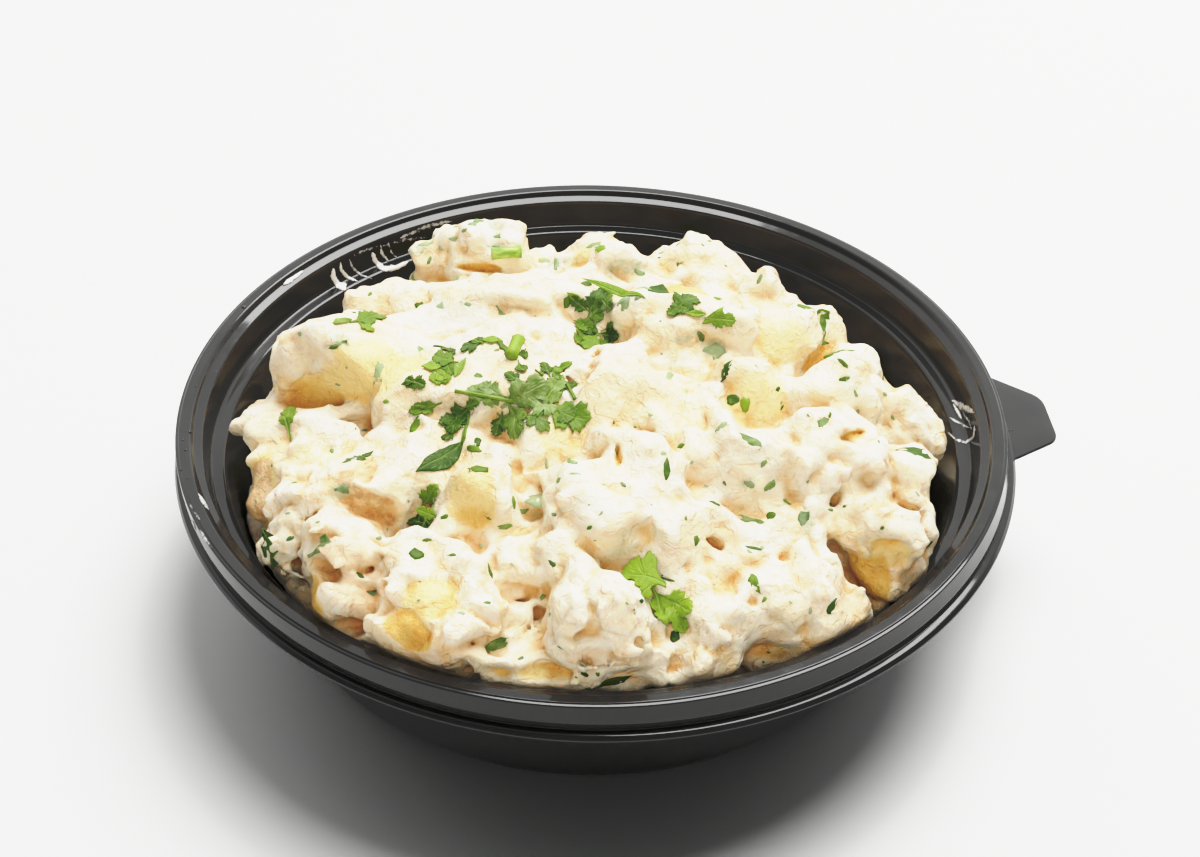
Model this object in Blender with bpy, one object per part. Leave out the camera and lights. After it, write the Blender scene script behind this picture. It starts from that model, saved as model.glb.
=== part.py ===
"""Potato salad heaped in a round black takeaway bowl, with parsley on top.

The origin is the centre of the bowl's flat base, +Z is up, and +X runs out through the
pull tab of the rim. Lengths are in metres unless a name or a comment says millimetres.
"""

import math
import random
from dataclasses import dataclass

import bmesh
import bpy
from mathutils import Matrix, Vector
from mathutils.bvhtree import BVHTree

MM = 0.001
Point = tuple[float, float]

# The bowl is one formed plastic sheet.
SHEET = 0.8 * MM
RIM_RADIUS = 95.0 * MM
RIM_HEIGHT = 46.0 * MM
BASE_RADIUS = 74.1 * MM
BASE_CORNER = 7.6 * MM
LEDGE_RADIUS = 85.3 * MM
LEDGE_DROP = 9.9 * MM
RIM_EDGE_ROUND = 0.8 * MM
LIP_DROP = 8.0 * MM
LIP_REACH = 1.9 * MM
LIP_SHIFT = 1.0 * MM
TURN_STEPS = 64

# The pull tab grows out of the lip.
TAB_ROOT_WIDTH = 31.0 * MM
TAB_END_WIDTH = 16.0 * MM
TAB_REACH = 11.2 * MM
TAB_CORNER = 3.0 * MM
TAB_SLOPE = 0.11

# The heap: its mean surface is a flat-topped dome over the rim.
DOME_RISE = 17.0 * MM
DOME_FALL = 23.0 * MM
DOME_RADIUS = 84.0 * MM
DOME_POWER = 3.2
CORE_DEPTH = 4.5 * MM
CORE_EDGE_DEPTH = 15.0 * MM
FILLER_SINK = 5.0
FILLER_EDGE_SINK = 8.0
FILLER_EDGE = (40.0, 68.0)
GAP = 0.4 * MM
CORE_STEPS = 32
LUMP_COUNT = 22
FILLER_COUNT = 34
FLAKE_NARROWNESS = 0.42
HERB_THICKNESS = 0.5 * MM
HERB_STEEPNESS = 0.6
STEM_THICKNESS = 1.8 * MM
SEED = 11


@dataclass(frozen=True)
class Chunk:
    """One coated potato piece: its place, breadth, depth and lift over the dome, in mm."""

    label: str
    x: float
    y: float
    breadth: float
    depth: float
    lift: float = 0.0


CHUNKS = (
    Chunk("back left", -23, 47, 21, 15, 3),
    Chunk("back left, low", -38, 47, 10, 10, 1),
    Chunk("back dip", -9, 46, 12, 7, -5),
    Chunk("back middle", 6, 37, 20, 12, 1),
    Chunk("back right", 29, 34, 25, 16, 3),
    Chunk("back point", 45, 26, 11, 12, 2),
    Chunk("right back", 56, 14, 13, 12),
    Chunk("right, hollowed", 60, 2, 14, 11),
    Chunk("right knob", 65, -9, 7, 9),
    Chunk("right edge", 74, -11, 15, 20, -1),
    Chunk("right lump", 63, -38, 18, 18),
    Chunk("right, bare", 59, -50, 19, 18, -3),
    Chunk("right, low", 49, -65, 11, 11, -2),
    Chunk("upper right", 43, 9, 18, 16),
    Chunk("upper middle", 18, 5, 28, 23),
    Chunk("upper, left of middle", -18, 21, 28, 16),
    Chunk("upper left", -47, 29, 23, 11),
    Chunk("big left, bare", -56, 5, 34, 25, 1),
    Chunk("left edge", -71, -2, 27, 13, -3),
    Chunk("left block", -66, -25, 22, 19),
    Chunk("left foot", -63, -38, 18, 12, -3),
    Chunk("skin on", -52, -35, 19, 22),
    Chunk("left front lumps", -53, -50, 14, 26, -4),
    Chunk("left, deep", -65, -46, 12, 11, -11),
    Chunk("front left, bare", -36, -65, 26, 27),
    Chunk("front middle, bare", -16, -78, 20, 11, -3),
    Chunk("front knob", -3, -74, 19, 23, 2),
    Chunk("front, right of middle", 16, -77, 21, 14, -2),
    Chunk("front, small", 17, -71, 18, 10),
    Chunk("front right knob", 36, -67, 19, 19),
    Chunk("front right, low", 32, -74, 11, 8, -4),
    Chunk("middle, bare", -29, -45, 17, 21),
    Chunk("middle left", -37, -34, 21, 17),
    Chunk("middle hollow", -17, -57, 15, 17, -3),
    Chunk("middle nub", -11, -62, 10, 15),
    Chunk("centre lump", 0, -53, 23, 20, 3),
    Chunk("centre right", 12, -55, 17, 17),
    Chunk("centre facets", 18, -39, 15, 14),
    Chunk("right of centre", 33, -40, 18, 15),
    Chunk("right, smooth", 51, -34, 20, 19, 2),
    Chunk("right ridge", 50, -16, 20, 13, 2),
    Chunk("upper, bare", 33, -18, 15, 16),
    Chunk("streaked ridge", 34, -53, 24, 12),
    Chunk("lower ridge", 17, -64, 26, 10),
    Chunk("centre top", 10, -25, 30, 19, 1),
    Chunk("under the leaves", -9, -31, 19, 15),
    Chunk("left of centre", -22, -15, 26, 22),
    Chunk("left middle", -37, -13, 18, 18),
)


@dataclass(frozen=True)
class Flake:
    """One small herb flake stuck in the sauce: its place, length in mm and turn in degrees."""

    x: float
    y: float
    length: float
    turn: float


FLAKES = (
    Flake(16.9, 18.9, 4.0, 84),
    Flake(30.3, 17.0, 4.5, 67),
    Flake(28.3, -12.3, 4.5, 64),
    Flake(29.3, -22.5, 5.8, 5),
    Flake(55.4, 11.6, 7.5, 75),
    Flake(55.6, -0.9, 7.0, 103),
    Flake(70.2, -25.0, 7.0, 9),
    Flake(28.0, -66.0, 4.5, -46),
    Flake(44.9, -67.3, 4.0, 55),
    Flake(-24.9, -75.5, 5.0, 16),
    Flake(-15.1, -50.4, 7.0, 27),
    Flake(51.5, 19.0, 5.6, -3),
    Flake(31.5, -33.6, 6.0, -41),
    Flake(-29.4, -27.6, 5.0, 81),
    Flake(-40.1, -25.2, 4.6, 73),
    Flake(-56.6, -36.0, 4.5, -47),
    Flake(3.2, 39.5, 4.0, -3),
)


@dataclass(frozen=True)
class Herb:
    """One loose parsley piece: its centre in mm, and the turn in degrees and reach of each lobe.

    A piece with a width is a narrow blade or a cut stem, with one lobe for each end.
    """

    name: str
    x: float
    y: float
    lobes: tuple[tuple[float, float], ...]
    width: float = 0.0
    is_stem: bool = False


HERBS = (
    Herb(
        "parsley_front",
        7.9,
        -71.2,
        (
            (15, 5.0), (152, 8.0), (192, 5.6), (258, 4.6), (286, 5.0), (325, 7.4), (346, 7.2),
        ),
    ),
    Herb(
        "parsley_centre",
        -15.8,
        -21.9,
        (
            (19, 11.5), (44, 9.8), (125, 7.5), (162, 13.5), (236, 9.6), (270, 11.0), (292, 10.0),
            (331, 14.7),
        ),
    ),
    Herb("parsley_centre_small", -10.7, -9.6, ((8, 4.9), (91, 3.0), (205, 3.7), (295, 3.0))),
    Herb("parsley_left_upper", -33.9, -6.1, ((6, 4.2), (65, 6.7), (112, 8.4), (201, 5.4), (269, 6.9))),
    Herb(
        "parsley_stemmed",
        -21.0,
        -3.0,
        (
            (51, 8.2), (96, 4.6), (125, 8.0), (167, 9.1), (276, 5.1), (300, 8.0), (350, 5.8),
        ),
    ),
    Herb("parsley_left_blade", -38.2, -20.0, ((5, 3.6), (183, 3.6)), width=2.8),
    Herb("parsley_left_lower", -32.1, -25.6, ((35, 6.0), (141, 3.3), (234, 4.2), (280, 5.4))),
    Herb("parsley_dark_blade", -34.8, -36.0, ((37, 6.2), (210, 6.4)), width=4.6),
    Herb(
        "parsley_bow",
        -39.3,
        -46.6,
        (
            (51, 5.8), (100, 5.1), (160, 3.5), (227, 3.6), (268, 6.3), (288, 6.0), (312, 5.3),
        ),
    ),
    Herb("parsley_left_far", -51.5, 15.4, ((9, 4.7), (165, 4.2)), width=3.2),
    Herb("parsley_left_edge", -68.7, -11.3, ((81, 5.7), (268, 5.8)), width=3.0),
    Herb("parsley_stem", -18.5, 38.7, ((-20, 3.6), (162, 3.5)), width=3.0, is_stem=True),
    Herb("parsley_back_blade", 6.2, 21.6, ((140, 9.0), (319, 9.0)), width=2.6),
    Herb(
        "parsley_back_upper",
        -1.6,
        9.7,
        (
            (58, 6.0), (121, 8.0), (190, 3.4), (238, 4.4), (301, 5.0), (357, 3.0),
        ),
    ),
    Herb(
        "parsley_back_lower",
        0.7,
        -2.6,
        (
            (66, 5.0), (117, 4.6), (190, 4.3), (247, 6.6), (280, 6.6), (357, 4.7),
        ),
    ),
    Herb("parsley_right_upper", 21.7, 11.8, ((47, 5.0), (93, 4.2), (222, 4.8), (307, 3.2))),
    Herb("parsley_right_wing", 28.4, 4.8, ((62, 3.9), (170, 4.4), (225, 4.1), (343, 5.4))),
)


def remove_scene_objects() -> None:
    """Empty the scene before modelling."""
    for obj in list(bpy.data.objects):
        bpy.data.objects.remove(obj, do_unlink=True)


def new_material(name: str, color: tuple[float, float, float], roughness: float) -> bpy.types.Material:
    """Return a Principled material of one colour."""
    material = bpy.data.materials.new(name)
    material.use_nodes = True
    shader = material.node_tree.nodes["Principled BSDF"]
    shader.inputs["Base Color"].default_value = (*color, 1.0)
    shader.inputs["Roughness"].default_value = roughness
    shader.inputs["Metallic"].default_value = 0.0
    return material


def object_from(name: str, bm: bmesh.types.BMesh, material: bpy.types.Material | None) -> bpy.types.Object:
    """Turn a bmesh into a scene object and free the bmesh."""
    mesh = bpy.data.meshes.new(name)
    bm.to_mesh(mesh)
    bm.free()
    obj = bpy.data.objects.new(name, mesh)
    if material is not None:
        mesh.materials.append(material)
    bpy.context.scene.collection.objects.link(obj)
    return obj


def round_shaded(obj: bpy.types.Object, sharp_degrees: float) -> None:
    """Shade a piece smooth and keep its sharper edges crisp."""
    obj.data.shade_smooth()
    obj.data.set_sharp_from_angle(angle=math.radians(sharp_degrees))


def arc(centre: Point, radius: float, start: float, end: float, steps: int) -> list[Point]:
    """Return points of an arc in the profile plane, between two angles in degrees."""
    x, z = centre
    angles = [math.radians(start + (end - start) * step / steps) for step in range(steps + 1)]
    return [(x + radius * math.cos(angle), z + radius * math.sin(angle)) for angle in angles]


class BowlShape:
    """The turned form of the bowl, and the wall that its contents keep clear of."""

    def __init__(self) -> None:
        """Work out the wall's slope and the centre of the base corner."""
        self.ledge_z = RIM_HEIGHT - LEDGE_DROP
        self.wall_top = LEDGE_RADIUS + SHEET
        self.slope = math.degrees(math.atan2(self.ledge_z - SHEET, self.wall_top - BASE_RADIUS))
        tangent = BASE_CORNER / math.tan(math.radians(180 - self.slope) / 2)
        self.corner = (BASE_RADIUS - tangent, BASE_CORNER)
        self.corner_end = self.slope - 90

    def food_side(self) -> list[Point]:
        """Return the upper face of the sheet, from the axis out to the lip."""
        points = [(0.0, SHEET)]
        points += arc(self.corner, BASE_CORNER - SHEET, -90, self.corner_end, 3)
        points += [
            (LEDGE_RADIUS, self.ledge_z),
            (LEDGE_RADIUS + 3.3 * MM, self.ledge_z + 1.1 * MM),
            (LEDGE_RADIUS + 3.8 * MM, self.ledge_z + 2.3 * MM),
            (LEDGE_RADIUS + 3.5 * MM, RIM_HEIGHT - 1.9 * MM),
            (RIM_RADIUS - 4.6 * MM, RIM_HEIGHT),
        ]
        points += arc((RIM_RADIUS - RIM_EDGE_ROUND, RIM_HEIGHT - RIM_EDGE_ROUND), RIM_EDGE_ROUND, 90, 0, 2)
        lip_z = RIM_HEIGHT - LIP_DROP + 0.4 * MM
        points += [
            (RIM_RADIUS + 0.9 * MM, lip_z + 1.0 * MM),
            (RIM_RADIUS + 1.3 * MM, lip_z),
            (RIM_RADIUS + LIP_REACH, lip_z - 0.1 * MM),
        ]
        return points

    def under_side(self) -> list[Point]:
        """Return the lower face of the sheet, from the lip back to the axis."""
        lip_z = RIM_HEIGHT - LIP_DROP - 0.4 * MM
        points = [
            (RIM_RADIUS + LIP_REACH - 0.1 * MM, lip_z),
            (RIM_RADIUS + 0.3 * MM, lip_z),
            (RIM_RADIUS - SHEET, RIM_HEIGHT - SHEET - 0.5 * MM),
            (RIM_RADIUS - SHEET - 0.5 * MM, RIM_HEIGHT - SHEET),
            (RIM_RADIUS - 4.2 * MM, RIM_HEIGHT - SHEET),
            (LEDGE_RADIUS + 4.3 * MM, RIM_HEIGHT - 2.3 * MM),
            (LEDGE_RADIUS + 4.6 * MM, self.ledge_z + 2.1 * MM),
            (LEDGE_RADIUS + 3.9 * MM, self.ledge_z + 0.3 * MM),
            (self.wall_top, self.ledge_z - SHEET),
        ]
        points += arc(self.corner, BASE_CORNER, self.corner_end, -90, 3)
        points += [(0.0, 0.0)]
        return points

    def inner_radius(self, z: float) -> float:
        """Return the radius of the food side of the wall at a height."""
        if z >= self.ledge_z:
            return LEDGE_RADIUS
        fillet = BASE_CORNER - SHEET
        corner_top = self.corner[1] + fillet * math.sin(math.radians(self.corner_end))
        if z >= corner_top:
            corner_radius = self.corner[0] + fillet * math.cos(math.radians(self.corner_end))
            share = (z - corner_top) / (self.ledge_z - corner_top)
            return corner_radius + share * (LEDGE_RADIUS - corner_radius)
        rise = max(SHEET, z) - self.corner[1]
        return self.corner[0] + math.sqrt(max(0.0, fillet**2 - rise**2))

    def keep_inside(self, point: Vector) -> Vector:
        """Move a point of the food in from the wall and up from the floor, by the gap."""
        z = max(point.z, SHEET + GAP)
        flat_of_wall = math.cos(math.pi / TURN_STEPS)
        limit = self.inner_radius(z) * flat_of_wall - GAP
        radius = math.hypot(point.x, point.y)
        shrink = min(1.0, limit / radius) if radius > 0 else 1.0
        return Vector((point.x * shrink, point.y * shrink, z))


def turned_mesh(profile: list[Point], steps: int) -> bmesh.types.BMesh:
    """Spin a profile that starts and ends on the axis into a closed body."""
    bm = bmesh.new()
    verts = [bm.verts.new((radius, 0.0, z)) for radius, z in profile]
    edges = [bm.edges.new(pair) for pair in zip(verts, verts[1:])]
    bmesh.ops.spin(
        bm,
        geom=verts + edges,
        axis=(0, 0, 1),
        cent=(0, 0, 0),
        angle=math.tau,
        steps=steps,
        use_merge=True,
    )
    bmesh.ops.remove_doubles(bm, verts=bm.verts, dist=0.01 * MM)
    bmesh.ops.recalc_face_normals(bm, faces=bm.faces)
    return bm


def tab_outline() -> list[Point]:
    """Return the pull tab seen from above: straight sides and two rounded outer corners."""
    root = RIM_RADIUS + 1.2 * MM
    end = RIM_RADIUS + LIP_REACH + LIP_SHIFT + TAB_REACH
    half_root = TAB_ROOT_WIDTH / 2
    half_end = TAB_END_WIDTH / 2
    corner = Vector((end, half_end))
    side = Vector((root, half_root)) - corner
    side.normalize()
    along_end = Vector((0.0, -1.0))
    outline = []
    for step in range(4):
        share = step / 3
        start = corner + side * TAB_CORNER
        finish = corner + along_end * TAB_CORNER
        bend = start.lerp(corner, share).lerp(corner.lerp(finish, share), share)
        outline.append((bend.x, bend.y))
    upper = [(root, half_root)] + outline
    return upper + [(x, -y) for x, y in reversed(upper)]


def build_tab() -> bpy.types.Object:
    """Build the tab as a thin plate that drops slightly towards its end."""
    bm = bmesh.new()
    outline = tab_outline()
    root = outline[0][0]
    top = RIM_HEIGHT - LIP_DROP + 0.25 * MM
    verts = [bm.verts.new((x, y, top - TAB_SLOPE * (x - root))) for x, y in outline]
    face = bm.faces.new(verts)
    extruded = bmesh.ops.extrude_face_region(bm, geom=[face])
    lower = [item for item in extruded["geom"] if isinstance(item, bmesh.types.BMVert)]
    bmesh.ops.translate(bm, verts=lower, vec=(0, 0, -0.55 * MM))
    bmesh.ops.recalc_face_normals(bm, faces=bm.faces)
    return object_from("tab_piece", bm, None)


def apply_boolean(target: bpy.types.Object, collection: bpy.types.Collection, solver: str) -> None:
    """Fuse a collection's objects into the target, then remove them."""
    union = target.modifiers.new("fuse", "BOOLEAN")
    union.operation = "UNION"
    union.operand_type = "COLLECTION"
    union.collection = collection
    union.solver = solver
    graph = bpy.context.evaluated_depsgraph_get()
    fused = bpy.data.meshes.new_from_object(target.evaluated_get(graph))
    target.modifiers.clear()
    target.data = fused
    for piece in list(collection.objects):
        bpy.data.objects.remove(piece, do_unlink=True)
    bpy.data.collections.remove(collection)


def into_collection(name: str, pieces: list[bpy.types.Object]) -> bpy.types.Collection:
    """Move pieces into a collection of their own."""
    collection = bpy.data.collections.new(name)
    bpy.context.scene.collection.children.link(collection)
    for piece in pieces:
        bpy.context.scene.collection.objects.unlink(piece)
        collection.objects.link(piece)
    return collection


def build_bowl(shape: BowlShape) -> bpy.types.Object:
    """Build the bowl: base, wall, ledges, rim, lip set off centre, and tab, as one body."""
    bm = turned_mesh(shape.food_side() + shape.under_side(), TURN_STEPS)
    skirt_top = RIM_HEIGHT - RIM_EDGE_ROUND
    for vert in bm.verts:
        if math.hypot(vert.co.x, vert.co.y) > RIM_RADIUS - 1.5 * MM:
            drop = (skirt_top - vert.co.z) / (skirt_top - (RIM_HEIGHT - LIP_DROP))
            vert.co.x += LIP_SHIFT * min(1.0, max(0.0, drop))
    material = new_material("black_plastic", (0.012, 0.012, 0.012), 0.22)
    bowl = object_from("bowl", bm, material)
    apply_boolean(bowl, into_collection("tab_pieces", [build_tab()]), "EXACT")
    bowl.data.materials.clear()
    bowl.data.materials.append(material)
    round_shaded(bowl, 35)
    return bowl


def dome_height(x: float, y: float) -> float:
    """Return the mean height of the heap's surface over a point."""
    share = math.hypot(x, y) / DOME_RADIUS
    return RIM_HEIGHT + DOME_RISE - DOME_FALL * share**DOME_POWER


def core_height(radius: float) -> float:
    """Return the height of the core's surface, which falls away from the heap's towards the wall."""
    share = radius / DOME_RADIUS
    return dome_height(radius, 0.0) - CORE_DEPTH - CORE_EDGE_DEPTH * share**3


def build_core(shape: BowlShape) -> bpy.types.Object:
    """Build the salad below its chunks: it fills the bowl, with a dome that lies lower than the heap."""
    edge_z = core_height(DOME_RADIUS)
    fillet = BASE_CORNER - SHEET
    corner = arc(shape.corner, fillet, -90, shape.corner_end, 2)
    stations = [share * DOME_RADIUS for share in (0.0, 0.25, 0.5, 0.7, 0.85)]
    profile = [(radius, core_height(radius)) for radius in stations]
    profile.append((shape.inner_radius(edge_z), edge_z))
    profile += reversed(corner)
    profile.append((0.0, SHEET))
    bm = turned_mesh(profile, CORE_STEPS)
    for vert in bm.verts:
        vert.co = shape.keep_inside(vert.co)
    return object_from("potato_salad", bm, None)


def hull_object(name: str, points: list[Vector]) -> bpy.types.Object:
    """Return the convex hull of some points as an object."""
    bm = bmesh.new()
    verts = [bm.verts.new(point) for point in points]
    result = bmesh.ops.convex_hull(bm, input=verts)
    loose = {item for key in ("geom_interior", "geom_unused") for item in result[key]}
    spare = [item for item in loose if isinstance(item, bmesh.types.BMVert)]
    bmesh.ops.delete(bm, geom=spare, context="VERTS")
    bmesh.ops.recalc_face_normals(bm, faces=bm.faces)
    return object_from(name, bm, None)


def chunk_points(half: Vector, rng: random.Random) -> list[Vector]:
    """Return the points of a hand-cut potato cube whose corners are broken off unevenly."""
    taper = rng.uniform(-0.16, 0.16)
    lean = rng.uniform(-0.18, 0.18)
    points = []
    for corner in range(8):
        signs = (1 if corner & 1 else -1, 1 if corner & 2 else -1, 1 if corner & 4 else -1)
        first = rng.randrange(3)
        for axis in (first, (first + 1) % 3):
            cut = [1.0 if index == axis else rng.uniform(0.42, 0.7) for index in range(3)]
            unit = Vector(sign * share for sign, share in zip(signs, cut))
            unit.x *= 1.0 + taper * unit.z
            unit.x += lean * unit.y
            points.append(Vector((unit.x * half.x, unit.y * half.y, unit.z * half.z)))
    return points


def placed_chunk(chunk: Chunk, shape: BowlShape, index: int) -> bpy.types.Object:
    """Build one chunk where it lies on the heap, pressed in from the wall where it would cross it."""
    rng = random.Random(SEED + index)
    half = Vector((chunk.breadth, chunk.depth, chunk.depth)) * MM / 2
    place = Vector((chunk.x, chunk.y, 0.0)) * MM
    place.z = dome_height(place.x, place.y) - half.z * 0.25 + chunk.lift * MM
    turn = Matrix.Rotation(math.radians(rng.uniform(-24, 24)), 3, "Z")
    tip = Matrix.Rotation(math.radians(rng.uniform(-22, 22)), 3, "X")
    points = [shape.keep_inside(place + turn @ tip @ point) for point in chunk_points(half, rng)]
    return hull_object("chunk", points)


def filler_chunks() -> list[Chunk]:
    """Return more chunks where the listed ones leave the core bare, mostly along the back."""
    rng = random.Random(SEED)
    taken = [(chunk.x, chunk.y, (chunk.breadth + chunk.depth) / 4) for chunk in CHUNKS]
    fillers = []
    tries = 0
    while len(fillers) < FILLER_COUNT and tries < 4000:
        tries += 1
        size = rng.uniform(12, 20)
        radius = rng.uniform(10, 76)
        angle = rng.uniform(0, math.tau)
        x = radius * math.cos(angle)
        y = radius * math.sin(angle)
        room = min(math.hypot(x - other[0], y - other[1]) - other[2] for other in taken)
        near, far = FILLER_EDGE
        outward = min(1.0, max(0.0, (radius - near) / (far - near)))
        edge_sink = FILLER_EDGE_SINK if y > -20 else FILLER_EDGE_SINK * 0.35
        sink = FILLER_SINK + edge_sink * outward
        if room > size * 0.36:
            fillers.append(Chunk("filler", x, y, size * 1.15, size, -sink))
            taken.append((x, y, size / 2))
    return fillers


class Ground:
    """What loose pieces lie on: the bodies placed so far, seen from above."""

    def __init__(self) -> None:
        """Start with no bodies."""
        self.trees: list[BVHTree] = []

    def add(self, obj: bpy.types.Object) -> None:
        """Add a finished body."""
        bm = bmesh.new()
        bm.from_mesh(obj.data)
        self.trees.append(BVHTree.FromBMesh(bm))
        bm.free()

    def height(self, x: float, y: float, reach: float = 0.0) -> float:
        """Return the highest point below a spot, also of the spots around it within reach."""
        spots = [(x, y)]
        if reach > 0:
            turns = [math.tau * step / 8 for step in range(8)]
            spots += [(x + reach * math.cos(turn), y + reach * math.sin(turn)) for turn in turns]
        best = -1.0
        for spot in spots:
            for tree in self.trees:
                hit = tree.ray_cast(Vector((*spot, 1.0)), Vector((0, 0, -1)))[0]
                if hit is not None:
                    best = max(best, hit.z)
        return best

    def touches(self, bm: bmesh.types.BMesh) -> bool:
        """Return whether a mesh cuts any of the bodies."""
        tree = BVHTree.FromBMesh(bm)
        return any(tree.overlap(other) for other in self.trees)


def lump_pieces(shape: BowlShape, ground: Ground, rng: random.Random) -> list[bpy.types.Object]:
    """Build soft lumps of dressing that sit half sunk in the chunks."""
    lumps = []
    for _ in range(LUMP_COUNT):
        radius = 76 * MM * math.sqrt(rng.random())
        angle = rng.uniform(0, math.tau)
        x = radius * math.cos(angle)
        y = radius * math.sin(angle)
        size = rng.uniform(2.6, 5.4) * MM
        bm = bmesh.new()
        bmesh.ops.create_icosphere(bm, subdivisions=1, radius=size)
        spin = Matrix.Rotation(rng.uniform(0, math.tau), 3, "Z")
        stretch = Vector((rng.uniform(1.0, 1.7), rng.uniform(0.8, 1.1), rng.uniform(0.55, 0.8)))
        middle = Vector((x, y, ground.height(x, y) - size * 0.1))
        for vert in bm.verts:
            vert.co = shape.keep_inside(middle + spin @ (vert.co * stretch))
        lumps.append(object_from("lump", bm, None))
    return lumps


def flake_pieces(shape: BowlShape, ground: Ground) -> list[bpy.types.Object]:
    """Build the small herb flakes that the dressing holds, as flat six-sided slips."""
    flakes = []
    for flake in FLAKES:
        spin = Matrix.Rotation(math.radians(flake.turn), 3, "Z")
        middle = Vector((flake.x, flake.y, 0.0)) * MM
        points = []
        for step in range(6):
            angle = math.tau * step / 6
            slip = Vector((math.cos(angle), FLAKE_NARROWNESS * math.sin(angle), 0.0))
            spot = middle + spin @ slip * flake.length * MM / 2
            spot.z = ground.height(spot.x, spot.y) + 0.5 * MM
            points += [shape.keep_inside(spot), shape.keep_inside(spot - Vector((0, 0, 2.2 * MM)))]
        flakes.append(hull_object("flake", points))
    return flakes


def keep_largest_body(obj: bpy.types.Object) -> None:
    """Drop the loose scraps and sealed hollows that fusing leaves."""
    bm = bmesh.new()
    bm.from_mesh(obj.data)
    unseen = set(bm.verts)
    bodies = []
    while unseen:
        body = set()
        front = [next(iter(unseen))]
        while front:
            vert = front.pop()
            if vert in body:
                continue
            body.add(vert)
            front += [edge.other_vert(vert) for edge in vert.link_edges]
        unseen -= body
        bodies.append(body)
    largest = max(bodies, key=len)
    bmesh.ops.delete(bm, geom=[vert for vert in bm.verts if vert not in largest], context="VERTS")
    bm.to_mesh(obj.data)
    bm.free()


def build_salad(shape: BowlShape) -> bpy.types.Object:
    """Build the heap: the core with its chunks, lumps and flakes fused on."""
    rng = random.Random(SEED)
    core = build_core(shape)
    laid_out = [*CHUNKS, *filler_chunks()]
    chunks = [placed_chunk(chunk, shape, index) for index, chunk in enumerate(laid_out)]
    rough = Ground()
    for piece in [core, *chunks]:
        rough.add(piece)
    pieces = chunks + lump_pieces(shape, rough, rng) + flake_pieces(shape, rough)
    apply_boolean(core, into_collection("salad_pieces", pieces), "MANIFOLD")
    keep_largest_body(core)
    core.data.materials.clear()
    core.data.materials.append(new_material("dressed_potato", (0.86, 0.8, 0.62), 0.4))
    round_shaded(core, 30)
    return core


def lobed_outline(lobes: tuple[tuple[float, float], ...]) -> list[Point]:
    """Return a leaf's edge in polar form: a tip and two shoulders for each lobe, and the notches."""
    outline = []
    count = len(lobes)
    for index, (turn, reach) in enumerate(lobes):
        next_turn, next_reach = lobes[(index + 1) % count]
        opening = (next_turn - turn) % 360
        last_opening = (turn - lobes[index - 1][0]) % 360
        spread_before = min(16.0, last_opening * 0.28)
        spread_after = min(16.0, opening * 0.28)
        outline += [(turn - spread_before, reach * 0.8), (turn, reach), (turn + spread_after, reach * 0.8)]
        notches = 1 if opening < 80 else 2
        for notch in range(notches):
            share = (notch + 1) / (notches + 1)
            depth = 0.62 if opening < 50 else 0.36
            outline.append((turn + opening * share, min(reach, next_reach) * depth))
    return [(math.radians(turn), reach * MM) for turn, reach in outline]


def blade_outline(herb: Herb) -> list[Point]:
    """Return the edge of a narrow blade or a cut stem in polar form."""
    (first_turn, first_reach), (last_turn, last_reach) = herb.lobes
    ends = [(first_turn, first_reach * MM), (last_turn, last_reach * MM)]
    angles = [(math.radians(turn), reach) for turn, reach in ends]
    start, finish = (Vector((reach * math.cos(angle), reach * math.sin(angle))) for angle, reach in angles)
    along = finish - start
    across = Vector((-along.y, along.x)).normalized() * herb.width * MM / 2
    if herb.is_stem:
        stations = ((0.0, 1.0), (0.5, 0.85), (1.0, 1.0))
    else:
        stations = ((0.0, 0.0), (0.22, 0.7), (0.5, 1.0), (0.78, 0.65), (1.0, 0.0))
    left = [start + along * share + across * width for share, width in stations]
    right = [start + along * share - across * width for share, width in reversed(stations) if width > 0]
    points = left + right
    outline = [(math.atan2(point.y, point.x), point.length) for point in points]
    signed = sum(a.x * b.y - b.x * a.y for a, b in zip(points, points[1:] + points[:1]))
    return outline if signed > 0 else list(reversed(outline))


def draped_heights(spots: list[Vector], ground: Ground) -> list[float]:
    """Return heights that clear the ground under each spot and never fall away too steeply."""
    bare = [ground.height(spot.x, spot.y, 1.2 * MM) for spot in spots]
    return [
        max(height - HERB_STEEPNESS * (spot - other).length for other, height in zip(spots, bare))
        for spot in spots
    ]


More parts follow.
